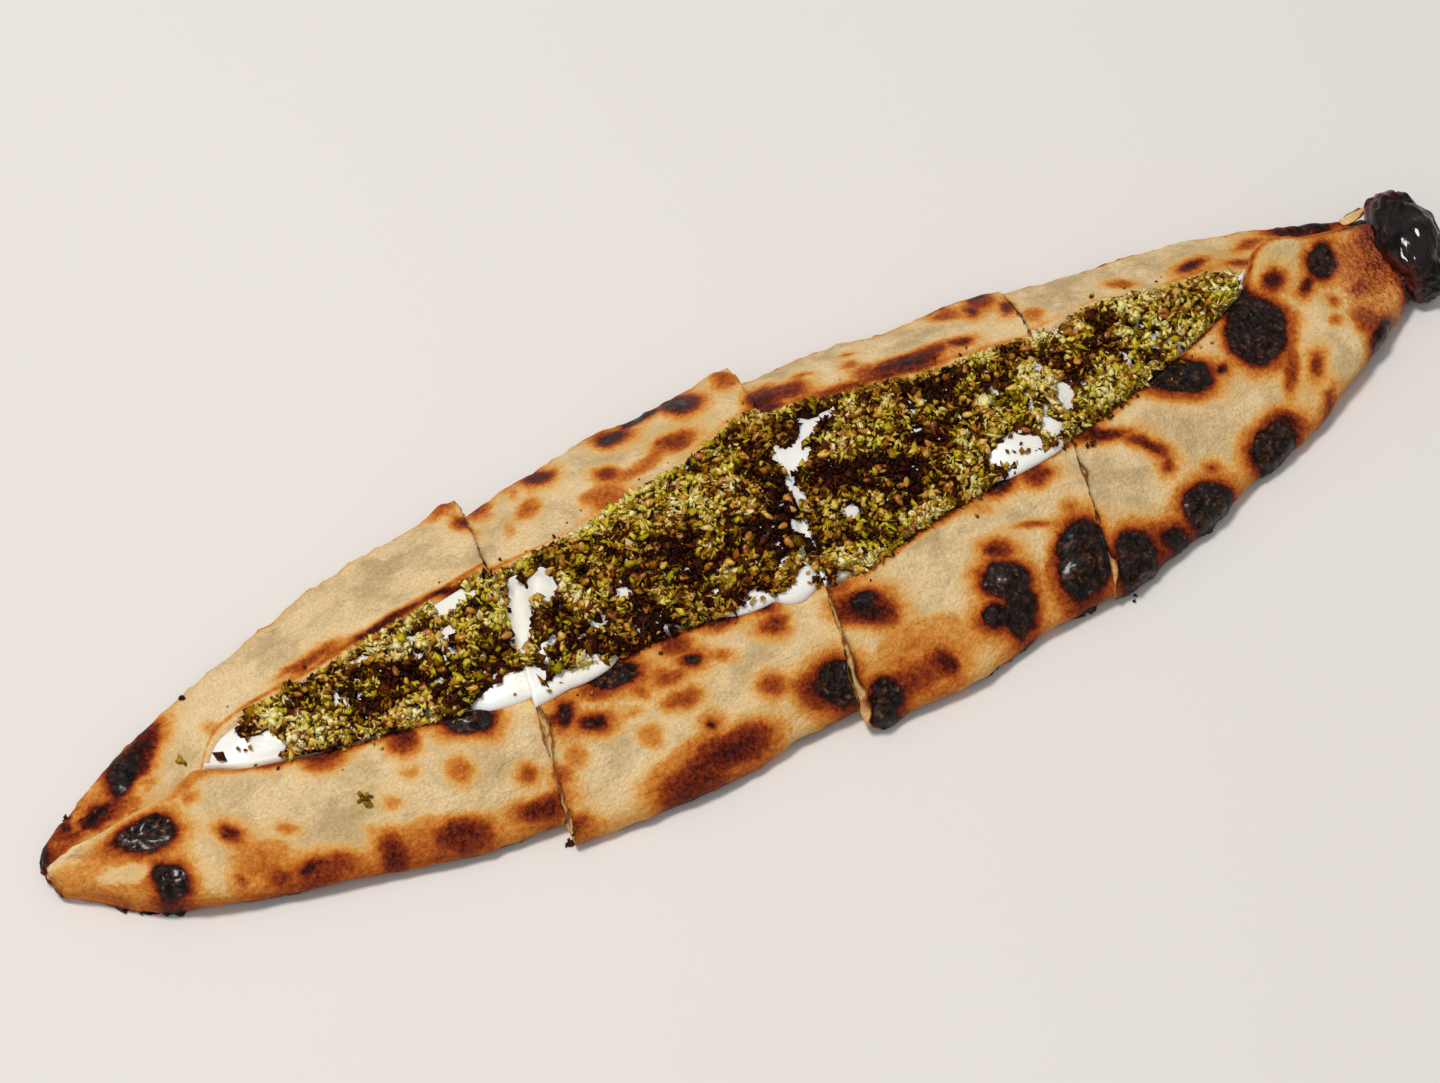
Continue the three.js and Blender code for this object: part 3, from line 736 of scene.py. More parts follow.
scorch = dict(
    edge=0.3,  # fading of the black past a mark's edge
    rim=2.1,  # fading of the brown past it
    halo=2.4,  # fading of the orange past it
    glow=4.2,  # fading of the last gold past it
    blister=1.2,  # height of a black blister
    crinkle=0.5,
    foldToast=dict(  # toasting of the folds, along the boat
        at=(-168, -140, -100, -76, -62, -40, -12, 2, 22, 45, 64, 90, 120, 150),
        near=(0.46, 0.5, 0.5, 0.42, 0.16, 0.26, 0.16, 0.4, 0.3, 0.16, 0.36, 0.3, 0.34, 0.46),
        far=(0.5, 0.45, 0.36, 0.36, 0.5, 0.4, 0.75, 0.6, 0.55, 0.6, 0.7, 0.4, 0.45, 0.75),
    ),
    lipToast=dict(
        at=(-168, -140, -120, -100, -76, -62, -40, -12, 2, 30, 64, 90, 120, 150),
        near=(0.35, 0.5, 0.6, 0.62, 0.5, 0.3, 0.62, 0.45, 0.35, 0.6, 0.5, 0.4, 0.6, 0.6),
        far=(0.3, 0.3, 0.5, 0.55, 0.6, 0.5, 0.2, 0.2, 0.3, 0.6, 0.3, 0.2, 0.3, 0.3),
    ),
)
curls = [  # places where the far edge lifts: x, y, reach, height
    (-62, 40, 4.0, 2.2),
    (6, 42, 5.0, 2.4),
    (71, 32, 3.5, 1.2),
    (150, 17, 5.0, 1.5),
]


# How burnt each point is by the marks, and how high its blister stands.
def scorched(points, marks):
    fray = 0.45 * noise(points, 2.6, 6) + 0.3 * noise(points, 1.0, 9)
    x = points[..., 0] + 0.9 * noise(points, 7, 5) + fray
    y = points[..., 1] + 0.9 * noise(points, 7, 7) + 0.45 * noise(points, 2.6, 8) - 0.5 * fray
    burn, rise = np.zeros(x.shape), np.zeros(x.shape)
    for markX, markY, longSide, shortSide, turn, depth in marks:
        c, s = math.cos(math.radians(turn)), math.sin(math.radians(turn))
        u, v = (x - markX) * c + (y - markY) * s, (y - markY) * c - (x - markX) * s
        r = np.hypot(u / longSide, v / shortSide)
        past = np.maximum(0, (r - 1) * shortSide * (1 + 0.25 * (longSide / shortSide - 1)))
        wide = 0.4 + 0.6 * depth
        fade = 0.12 * np.exp(-past / scorch["edge"])
        fade = fade + 0.5 * np.exp(-((past / scorch["rim"] / wide) ** 1.2))
        fade = fade + 0.26 * np.exp(-past / scorch["halo"] / wide)
        fade = fade + 0.12 * np.exp(-past / scorch["glow"] / wide)
        dip = 0.08 if depth >= 0.95 else 0.25
        amount = depth * fade * (1 - dip * np.minimum(r, 1) ** 2)
        more, less = np.maximum(burn, amount), np.minimum(burn, amount)
        burn = more + 0.25 * less * (1 - more)  # overlapping marks darken each other
        if depth >= 0.95:
            dome = np.clip(1.1 - r, 0, 1) ** 0.6 * (0.75 + 0.5 * noise(points, 2.8, 10))
            rise = np.maximum(rise, dome * min(1, shortSide / 3.5))
    return np.clip(burn, 0, 1), rise


skirts = [  # burnt rags of dough along the foot of a fold: s, reach, how far out, near side
    (-157, 12, 2.0, True), (-126, 8, 0.9, True), (-75, 6, 0.8, True), (8, 8, 0.9, True),
    (36, 10, 1.0, True), (58, 6, 1.6, True), (88, 9, 1.0, True), (140, 9, 1.2, True),
    (-163, 6, 1.8, False), (-147, 10, 1.3, False), (-128, 4, 1.0, False), (-20, 6, 0.7, False),
    (55, 6, 0.7, False), (140, 10, 1.0, False),
]
dents = [(-164, -3.5, 5, 2, -35, 1.8)]  # hollow under the rolled lip of the plain tip

tears = [  # torn crust at a cut: slice, whether at its start, y, reach, how deep
    (1, True, -24, 8, 1.6), (1, True, -42, 3, 0.8), (2, True, -47, 6, 2.2), (2, True, -37, 5, 0.8),
    (1, False, -40, 5, 0.8), (3, True, -42, 5, 1.8), (3, True, -22, 4, 0.6), (0, False, -38, 4, 0.6),
]

oilSpots = [  # where oil has soaked into the crust: x, y, reach, amount
    (-8, 28, 12, 0.9),
    (128, 12, 14, 0.8),
    (-107, -21, 6, 0.45),
    (-136, 8, 4, 0.4),
]
breadMesh = dict(flap=64, fold=12, base=26, layers=4, step=0.75)

bakedRelief = dict(
    swells=((17, 0.75, 21), (7.5, 0.5, 22), (2.6, 0.2, 23)),  # width, height and noise seed
    levelLip=6,  # how far from a lip the swelling is full
    crimp=0.28,  # lumps round the folds
    farLumps=0.5,  # and out of the far one
    torn=0.5,  # depth of the torn patches
    glazed=0.4,
    rolled=0.5,  # how much thicker the rolled lip is
    underside=0.15,  # part of the relief that the base keeps
)
cutEdge = dict(
    ragged=0.5,  # unevenness of a cut end
    raggedTip=0.9,  # and of the tips
    outward=0.45,  # moves a cut end towards the next slice
    fade=1.6,  # how far from the cut the unevenness dies out
    tearFade=2.5,
    bulge=0.5,  # of the cut face
)
plainTip = dict(
    rounding=12,  # how far from the tip its end starts to round off
    tuckedIn=2.0,
    aside=1.3,
    closing=6,  # length over which it closes down
    flattest=0.4,  # part of the height left at the very end
)


# Fineness along a flap: close together at the lip, where the dough rounds off.
def flapStepsFor(count):
    t = np.linspace(0, 1, count, endpoint=False)
    return 1 - (0.9 * t**1.35 + 0.1 * t)


def alongBoat(column, table, isNear):
    near = np.interp(column, table["at"], table["near"])
    far = np.interp(column, table["at"], table["far"])
    return np.where(isNear, near, far)


# How toasted the crust is away from the marks: low on the folds, at the lips and at the tips.
def toasting(column, outside, fromLip, isNear, isFar):
    height = outside[..., 2]
    patchy = 0.5 + 0.5 * roughNoise(outside, 9, 12)
    foldAmount = alongBoat(column, scorch["foldToast"], isNear)
    low = np.where(isNear, smooth(9.5, 4.0, height), smooth(8.0, 4.6, height))
    folds = foldAmount * low * np.where(isNear, 0.55 + 0.9 * patchy, 1.2 * patchy**1.4)
    frayed = height + 0.9 * noise(outside, 2.4, 17) + 0.5 * noise(outside, 1.0, 18)
    outline = smooth(6.1, 4.9, frayed) * np.clip(0.6 + 0.7 * noise(outside, 5.5, 19), 0, 1)
    folds = np.where(isFar, np.maximum(folds, (0.6 + 0.4 * foldAmount) * outline), folds)
    rubbed = 0.82 * smooth(2.6, 1.5, height) * (0.7 + 0.6 * noise(outside, 5, 13))
    lipReach = 0.7 + 1.2 * np.clip(noise(outside, 11, 15) + 0.2, 0, 1)
    fromEdge = (fromLip - np.where(isNear, 0.9, 2.1)) / lipReach
    lipAmount = alongBoat(column, scorch["lipToast"], isNear)
    lipsToast = lipAmount * np.exp(-(fromEdge**2)) * (0.5 + 0.8 * patchy)
    bothTips = 0.34 * smooth(138, 160, np.abs(column)) * (0.5 + patchy)
    charredTip = 0.72 * smooth(148, 160, column + 1.5 * noise(outside, 3, 16))
    return np.max([folds, rubbed, lipsToast, bothTips, charredTip], axis=0)


# Burnt rags that hang out along the foot of the folds. Moves them and gives how burnt they are.
def addSkirts(column, outside, isNear, isFar):
    charred = np.zeros(outside.shape[:2])
    for at, reach, out, nearSide in skirts:
        along = smooth(reach, 0.3 * reach, np.abs(column - at))
        rag = 0.55 + 0.8 * noise(outside, 2.2, 28) + 0.6 * noise(outside, 0.9, 29)
        side = isNear if nearSide else isFar
        amount = along * np.clip(rag, 0, 1.5) * smooth(1.9, 0.5, outside[..., 2]) * side
        outside[..., 1] += (-out if nearSide else out) * amount
        charred = np.maximum(charred, 0.95 * smooth(0.1, 0.5, amount))
    return charred


def liftCurls(face, isFar):
    for curlX, curlY, reach, height in curls:
        distance = np.hypot(face[..., 0] - curlX, face[..., 1] - curlY)
        face[..., 2] += height * smooth(reach, 0, distance) * isFar


def roundPlainTip(face, column):
    tipward = smooth(tips["plain"] + plainTip["rounding"], tips["plain"], column)
    aside = (face[..., 1] - slices[0]["centre"][0] - 2) / 8
    curve = np.where(aside < 0, 1.7, 0.8) * aside**2
    face[..., 0] += tipward * (curve - plainTip["tuckedIn"])
    face[..., 1] += plainTip["aside"] * tipward
    along = np.clip((column - tips["plain"]) / plainTip["closing"], 0, 1)
    closing = np.sqrt(1 - (1 - along) ** 2)
    face[..., 2] *= mix(plainTip["flattest"], 1, closing)


# Draws the two ends of a slice in unevenly, and tears the crust where the list says so.
def raggedCuts(index, s, outside, inside):
    column = s[:, None]
    for row, toward in ((0, 1), (-1, -1)):
        isTip = (index == 0 and row == 0) or (index == sliceCount - 1 and row == -1)
        depth = cutEdge["raggedTip"] if isTip else cutEdge["ragged"]
        shift = 0 if isTip else cutEdge["outward"]
        shift = shift + (reachOver[index] if row == 0 else 0)
        fromCut = np.abs(column - s[row])
        for face in (outside, inside):
            ragged = 0.3 + 0.8 * noise(face, 2.6, 41) + 0.4 * noise(face, 0.9, 42)
            inward = depth * np.clip(ragged, 0, 2) - shift
            face[..., 0] += toward * inward * np.exp(-fromCut / cutEdge["fade"])
        for slicePart, atStart, tearY, reach, deep in tears:
            if slicePart == index and atStart == (row == 0):
                fromTear = np.abs(outside[..., 1] - tearY) + 1.2 * noise(outside, 1.6, 43)
                torn = smooth(reach, 0, fromTear) * np.exp(-fromCut / cutEdge["tearFade"])
                outside[..., 0] += toward * deep * torn


# Both faces of the sheet share the lips, and layers close the two cut ends. Gives the points,
# the faces, and how burnt and how much like bare crumb each point is.
def closeSheet(index, outside, inside, burn, bare):
    rows, columns = burn.shape
    outGrid = np.arange(rows * columns).reshape(rows, columns)
    inGrid = outGrid.copy()
    inGrid[:, 1:-1] = rows * columns + np.arange(rows * (columns - 2)).reshape(rows, -1)
    points = [outside.reshape(-1, 3), inside[:, 1:-1].reshape(-1, 3)]
    burns = [burn.ravel(), np.full(rows * (columns - 2), 0.12)]
    crumbs = [bare.ravel(), np.full(rows * (columns - 2), 0.5)]
    faces = [gridFaces(outGrid), gridFaces(inGrid, flip=True)]
    used = rows * columns + rows * (columns - 2)
    for row in (0, -1):
        atPlainTip = index == 0 and row == 0
        layers = [outGrid[row]]
        for k in range(1, breadMesh["layers"]):
            t = k / breadMesh["layers"]
            between = mix(outside[row, 1:-1], inside[row, 1:-1], t)
            bulge = cutEdge["bulge"] * math.sin(math.pi * t) + 0.3 * noise(between, 1.3, 51)
            between[:, 0] += bulge if row == -1 else -bulge
            numbers = outGrid[row].copy()
            numbers[1:-1] = used + np.arange(columns - 2)
            used += columns - 2
            layers.append(numbers)
            points.append(between)
            brown = smooth(0.1, 0.7, noise(between, 2.4, 52) + 0.4 * noise(between, 0.9, 53))
            burns.append(0.6 + 0.3 * brown if atPlainTip else 0.12 + 0.6 * brown)
            crumbs.append(0 * brown if atPlainTip else 1 - 0.85 * brown)
        layers.append(inGrid[row])
        faces.append(gridFaces(np.array(layers), flip=row == -1))
    return [np.concatenate(parts) for parts in (points, faces, burns, crumbs)]


def soaked(points):
    oil = np.zeros(len(points))
    for oilX, oilY, reach, amount in oilSpots:
        distance = np.hypot(points[:, 0] - oilX, points[:, 1] - oilY) + 1.5 * noise(points, 3, 61)
        oil = np.maximum(oil, amount * smooth(reach, reach * 0.2, distance))
    return oil


def makeBread(index):
    start, end = span(index)
    s = np.linspace(start, end, int((end - start) / breadMesh["step"]) + 1)
    column = s[:, None]
    flapSteps = flapStepsFor(breadMesh["flap"])
    foldSteps = np.linspace(0, 1, breadMesh["fold"] + 1)
    baseSteps = np.linspace(0, 1, breadMesh["base"] + 2)[1:-1]
    y, z, outY, outZ, fromLip, parts = sheetLine(index, s, flapSteps, foldSteps, baseSteps)
    rounding = thickness(column) / 2
    half = rounding * np.sqrt(1 - (1 - np.clip(fromLip / rounding, 0, 1)) ** 2)
    outside = place(index, column, y + outY * half, z + outZ * half)
    inside = place(index, column, y - outY * half, z - outZ * half)
    isNear, isFar = parts <= nearFold, parts >= farFold

    # colour by how burnt each point is
    burnNear, riseNear = scorched(outside, nearMarks)
    burnFar, riseFar = scorched(outside, farMarks)
    burn = np.where(isNear, burnNear, burnFar * isFar)
    rise = np.where(isNear, riseNear, riseFar * isFar)
    background = toasting(column, outside, fromLip, isNear, isFar)
    upper = np.maximum(background, 1 - (1 - burn) * (1 - 0.8 * background))
    underside = 0.75 * smooth(0.1, 0.75, roughNoise(outside, 14, 44)) + 0.15
    burn = np.where(parts == base, underside, upper)
    rolled = isNear * smooth(-134, -144, column) * np.exp(-((fromLip / 2.2) ** 2))
    tornAway = isNear * inPatches(outside, tornPatches, 0.5)
    glaze = isNear * inPatches(outside, glazedPatches, 3)
    burn = burn * (1 - 0.85 * rolled) * (1 - 0.9 * tornAway)
    burn = np.maximum(burn, glaze * (0.46 + 0.24 * noise(outside, 3.2, 45)))

    # relief of the baked sheet; the far flap stays level where the near one laps over it
    level = 1 - 0.85 * lapped(column) * isFar
    swells = [height * noise(outside, width, seed) for width, height, seed in bakedRelief["swells"]]
    crinkle = 1 + scorch["crinkle"] * (noise(outside, 1.9, 24) + 0.6 * noise(outside, 0.9, 26))
    crimp = np.exp(-(((outside[..., 2] - 3.5) / 2.5) ** 2)) * (parts != base)
    push = level * sum(swells) * (0.25 + 0.75 * smooth(0, bakedRelief["levelLip"], fromLip))
    push = push + level * scorch["blister"] * rise * crinkle
    push = push - isNear * inPatches(outside, dents, 1.2)
    push = push + crimp * bakedRelief["crimp"] * noise(outside, 3.1, 25)
    lumps = np.maximum(0, noise(outside, 1.7, 20))
    push = push + isFar * crimp * bakedRelief["farLumps"] * lumps
    push = push - bakedRelief["torn"] * tornAway + bakedRelief["rolled"] * rolled
    push = push + bakedRelief["glazed"] * glaze * noise(outside, 1.6, 27)
    push = push * np.where(parts == base, bakedRelief["underside"], 1)
    normal = np.stack([np.zeros_like(outY), outY, outZ], -1)
    outside = outside + normal * push[..., None]
    inside = inside + normal * (0.5 * np.minimum(push, 0))[..., None]

    burn = np.maximum(burn, addSkirts(column, outside, isNear, isFar))
    for face in (outside, inside):
        liftCurls(face, isFar)
        if index == 0:
            roundPlainTip(face, column)
    raggedCuts(index, s, outside, inside)
    outside[..., 2] = np.maximum(outside[..., 2], 0)

    points, faces, burns, crumbs = closeSheet(index, outside, inside, burn, 0.7 * tornAway)
    shiny = np.zeros(len(points))
    shiny[: glaze.size] = glaze.ravel()
    return points, faces, dict(burn=burns, crumb=crumbs, oil=soaked(points), glaze=shiny)


knob = dict(
    centre=(164.8, 2.8, 7), radii=(7.4, 14.8, 7.3), turn=-0.27, flatAt=0.94, fineness=6,
    shinyAt=(165.8, 0.6, 14.6),  # a swollen wet place, flattened where it faces the light
    shinyFacing=(-0.311, -0.188, 0.932),
    shinySwell=2.0, shinyReach=3.2, shinyDepth=0.9, flattened=0.85,
)
liftedFlake = dict(
    centre=(155.6, 12.6, 10.8), radii=(3.6, 1.3, 0.4), turn=0.08, climb=0.12, curl=0.05,
    fineness=4,
)


def ball(fineness, radius=1.0):
    form = bmesh.new()
    bmesh.ops.create_icosphere(form, subdivisions=fineness, radius=radius)
    points = np.array([v.co for v in form.verts])
    faces = np.array([[v.index for v in f.verts] for f in form.faces])
    form.free()
    return points, faces


def turned(p, angle):
    c, s = math.cos(angle), math.sin(angle)
    return np.stack([p[:, 0] * c - p[:, 1] * s, p[:, 0] * s + p[:, 1] * c, p[:, 2]], -1)


def makeKnob():
    p, faces = ball(knob["fineness"])
    ridges = 1 - np.abs(noise(p, 0.8, 70)) * 2
    lumps = 0.06 * ridges + 0.09 * noise(p, 0.6, 71)
    lumps = lumps + 0.05 * noise(p, 0.26, 72) + 0.03 * noise(p, 0.11, 73)
    p = p * (1 + lumps[:, None])
    p[:, 2] = np.maximum(p[:, 2], -knob["flatAt"])
    p = turned(p * np.array(knob["radii"]), knob["turn"]) + np.array(knob["centre"])
    facing = np.array(knob["shinyFacing"])
    fromShiny = np.linalg.norm(p - np.array(knob["shinyAt"]), axis=1)
    swollen = knob["shinySwell"] * np.exp(-((fromShiny / knob["shinyReach"]) ** 2))
    p = p + facing * swollen[:, None]
    height = p @ facing
    over = np.maximum(0, height - height.max() + knob["shinyDepth"])
    p = p - facing * knob["flattened"] * over[:, None]
    rust = smooth(12, 15.5, p[:, 1] + 2.5 * noise(p, 4, 74)) * smooth(172, 163, p[:, 0])
    joint = 0.75 * smooth(159, 156, p[:, 0] + 0.25 * p[:, 1] + 1.5 * noise(p, 3, 75))
    return p, closeTriangles(faces), dict(rust=np.maximum(rust, joint), glaze=smooth(0, 0.4, over))


def makeLiftedFlake():  # a flake of the far flap that stands up beside the charred tip
    p, faces = ball(liftedFlake["fineness"])
    toEdge = np.hypot(p[:, 0], p[:, 1])
    p = p * (1 + 0.25 * noise(p, 0.6, 76))[:, None] * np.array(liftedFlake["radii"])
    p[:, 2] += liftedFlake["climb"] * p[:, 0] + liftedFlake["curl"] * p[:, 0] ** 2
    p = turned(p, liftedFlake["turn"]) + np.array(liftedFlake["centre"])
    return p, closeTriangles(faces), dict(burn=0.12 + 0.7 * smooth(0.75, 1, toEdge))


# Joins forms into one mesh. A form that lacks one of the values has 0 there.
def joinForms(forms):
    sizes = [len(points) for points, _, _ in forms]
    offsets = np.cumsum([0] + sizes)
    points = np.concatenate([form[0] for form in forms])
    faces = np.concatenate([form[1] + offset for form, offset in zip(forms, offsets)])
    part = np.repeat(np.arange(len(forms)), [len(form[1]) for form in forms])
    values = {}
    for key in sorted(set().union(*[form[2] for form in forms])):
        each = [form[2].get(key, np.zeros(size)) for form, size in zip(forms, sizes)]
        values[key] = np.concatenate(each)
    return points, faces, values, part


crustLooks = [crust, char, glazedCrust]

for index in range(sliceCount):
    forms = [makeBread(index)]
    if index == sliceCount - 1:
        forms += [makeKnob(), makeLiftedFlake()]
    points, faces, values, part = joinForms(forms)
    lookOf = np.where(part == 1, 1, 0)  # the knob is char
    lookOf = np.where((values["glaze"][faces].mean(1) > 0.35) & (lookOf == 0), 2, lookOf)
    looks = crustLooks if len(forms) > 1 else crustLooks[:1]
    piece = makeMesh(f"breadSlice{index + 1}", points, faces, looks, values, lookOf)
    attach(piece, "root")
    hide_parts(f"bread_{index + 1}")
    print(f"bread slice {index + 1}: {len(faces)} faces")


# Labneh

barePatches = [  # labneh left bare of za'atar: x, y, half length, half width, turn, how bare
    (-124, 1, 10, 3.8, -15, 1), (-72, 12, 6.4, 2.8, 0, 1), (-77, 2, 5.5, 0.5, 65, 1),
    (-61.5, 1.5, 12, 3.2, 66, 1), (-54.5, 5, 6.5, 3.2, 70, 1), (-59.5, -9, 3, 1.8, 30, 1),
    (-71, -14, 8, 3.2, -5, 1), (-60, -18, 5, 2, -20, 1), (-5, -19.5, 4.4, 2.6, 20, 1),
    (-16, -18, 3.8, 1.6, -20, 1), (-23, -17, 3.5, 0.7, -10, 1), (2, -22, 3.4, 2.6, 15, 1),
    (-2, -14, 3.7, 1.3, 60, 1), (0, -8, 2.6, 2, 15, 1), (7, 9, 4.5, 4.2, -55, 0.85),
    (4, 2, 5, 1.8, 75, 0.9), (15, 15, 11, 2, 25, 1), (14, -18, 3, 0.6, -20, 1),
    (9, -19, 1.5, 1.5, 45, 1), (51, -12, 7, 4, 5, 1), (37, -14, 4.2, 0.6, 5, 1),
    (61, -10, 3, 2.3, 10, 1), (68.5, -3, 5.6, 2.8, 75, 1), (67, 6, 5, 1.7, 65, 1),
    (61, -8, 3.2, 1.6, 55, 1), (77, 14, 2.9, 1.7, 5, 1), (92, -4, 3.5, 1, 0, 1),
    (-77.5, 3, 7, 0.8, 68, 1), (-84.7, 2.5, 4.5, 0.7, 88, 1), (-97.5, 4, 3.4, 0.7, -60, 1),
    (-95, 8, 2.6, 1.3, 10, 1), (-74, 11, 6, 1.2, 20, 1), (60, -3, 4, 1.6, 70, 0.9),
    (-7, -14, 2.4, 1.2, 40, 0.9),
]
darkPatches = [  # browner and darker za'atar; the patch at x -48 by the near lip is painted shade
    (26, -4, 7, 6, 0, 1), (-25, -6, 5, 4.7, 30, 1), (-48, -15, 6.7, 2.6, -10, 1),
    (-54, -2, 2.5, 2, 50, 0.6), (-85, -1, 6, 3, -10, 0.7), (95, 4, 6.4, 4, 15, 0.6),
    (12, 1, 5.6, 5.3, 60, 0.5), (-10, -9, 6.3, 6, -50, 0.6), (30, -2, 16, 8, 10, 0.45),
    (-40, -13, 15, 3.6, -6, 0.8), (-80, -7, 9, 3.2, -10, 0.5), (44, 10, 8, 4, 0, 0.5),
    (-98, -3, 6, 3, -10, 0.3), (82, 8, 6, 3, 0, 0.6),
]
greenPatches = [  # greener and paler za'atar
    (-11, 21, 10.4, 3, 10, 1), (-69, -1, 3.5, 3.4, -30, 1), (-68, 11, 4, 2.6, -75, 0.8),
    (-44, 5, 6, 4, 70, 0.7), (53, 0, 6.4, 4.4, -40, 0.8), (103, 0, 8, 3, 5, 1),
    (116, 6, 8, 2.3, 0, 1), (21, 5, 6.6, 2.4, 0, 0.8), (14, -17, 10.4, 3, 10, 0.8),
    (-105, 0, 9, 3.2, -5, 0.8), (74, -6, 8.6, 1.7, 0, 1), (-32, 14, 14, 2.6, 8, 0.8),
    (96, -6, 12, 2.4, 5, 0.8),
]
grooves = [  # furrows that the knife left in the labneh: x, y, half length, turn, width, depth
    (-61.5, 1.5, 11, 68, 2.2, 3.0),
    (1.5, 6, 10, 75, 1.2, 0.9),
]


def spreadOverLip(s):
    most = np.full(np.shape(s), float(squeeze["least"]))
    for at, reach, spread in squeezes:
        u = np.minimum(1, np.abs(s - at) / reach)
        most = np.maximum(most, spread * (1 - u * u) ** 1.1)
    return most


def pressedOut(s):
    return smooth(squeeze["least"], 2.0, spreadOverLip(s))


lipSteps = np.array([1.0])
noSteps = np.zeros(0)


# Both lips' upper edges at s: y and z of the near one, then of the far one.
def lipEdges(index, s):
    y, z, outY, outZ, _, _ = sheetLine(index, s, lipSteps, noSteps, noSteps)
    half = thickness(np.asarray(s, float).reshape(-1)) / 2
    out = [(y[:, k] + outY[:, k] * half, z[:, k] + outZ[:, k] * half) for k in (0, -1)]
    return out[0][0], out[0][1], out[1][0], out[1][1]


# Top of the labneh at s, with t from 0 at the near lip to 1 at the far lip.
def labnehTop(index, s, t):
    nearY, nearZ, farY, farZ = [v.reshape(np.shape(s)) for v in lipEdges(index, s)]
    pressed = pressedOut(s)
    y = mix(nearY + mix(1.3, filling["gap"], pressed), farY - filling["gap"], t)
    mound = filling["mound"] * smooth(0, 12, mouthHalf(s))
    lift = mix(-0.7, 2 * filling["gap"] + squeeze["height"] * spreadOverLip(s), pressed)
    z = mix(nearZ + lift, farZ - 0.5, t) + 4 * mound * t * (1 - t)
    p = place(index, s, y, z)
    inner = smooth(0, 0.1, t) * smooth(1, 0.9, t)
    z = z + inner * (0.45 * noise(p, 7, 91) + 0.22 * noise(p, 3, 92))
    for x0, y0, length, turn, width, depth in grooves:
        c, sn = math.cos(math.radians(turn)), math.sin(math.radians(turn))
        along = (p[..., 0] - x0) * c + (p[..., 1] - y0) * sn
        across = (p[..., 1] - y0) * c - (p[..., 0] - x0) * sn
        fade = smooth(length, 0.6 * length, np.abs(along)) * inner
        z = z - depth * fade * np.exp(-((across / width) ** 2))
        z = z + 0.45 * depth * fade * np.exp(-(((np.abs(across) - 1.9 * width) / width) ** 2))
    return y, z


labnehMesh = dict(
    step=0.8, pocket=8, base=8, top=54, lobe=8,
    past=0.6,  # how far it runs into the gaps at the cuts
    drawnBack=2.4, drawnFade=2.5,  # how far it stays behind the cuts under the flaps
    endRings=((0.82, 0.16), (0.4, 0.22), (0.0, 0.24)),  # size and bulge of each ring of an end
)


# The labneh inside the fold, just clear of the dough: the near side, the base, the far side.
def pocketLine(index, s):
    count = labnehMesh["pocket"]
    y, z, outY, outZ, _, _ = sheetLine(index, s, np.linspace(1, 0.25, count), noSteps, noSteps)
    clear = thickness(s)[:, None] / 2 + filling["gap"]
    y, z = y - outY * clear, z - outZ * clear
    baseY = mix(y[:, count - 1 : count], y[:, count : count + 1], np.linspace(0, 1, labnehMesh["base"]))
    baseZ = np.broadcast_to(thickness(s)[:, None] + filling["gap"], baseY.shape)
    allY = np.concatenate([y[:, :count], baseY, y[:, count:]], 1)
    allZ = np.concatenate([z[:, :count], baseZ, z[:, count:]], 1)
    return allY, allZ


# The near lip's edge, raised by the gap, and the place on the flap that the labneh reaches.
def lobeFoot(index, s):
    y, z, outY, outZ, _, _ = sheetLine(index, s, np.array([1.0, 0.7]), noSteps, noSteps)
    clear = thickness(s)[:, None] / 2 + filling["gap"]
    y, z = y + outY * clear, z + outZ * clear
    reach = spreadOverLip(s) / np.hypot(y[:, 1] - y[:, 0], z[:, 1] - z[:, 0])
    footY, footZ = mix(y[:, 0], y[:, 1], reach), mix(z[:, 0], z[:, 1], reach)
    return y[:, :1], z[:, :1], footY[:, None], footZ[:, None]


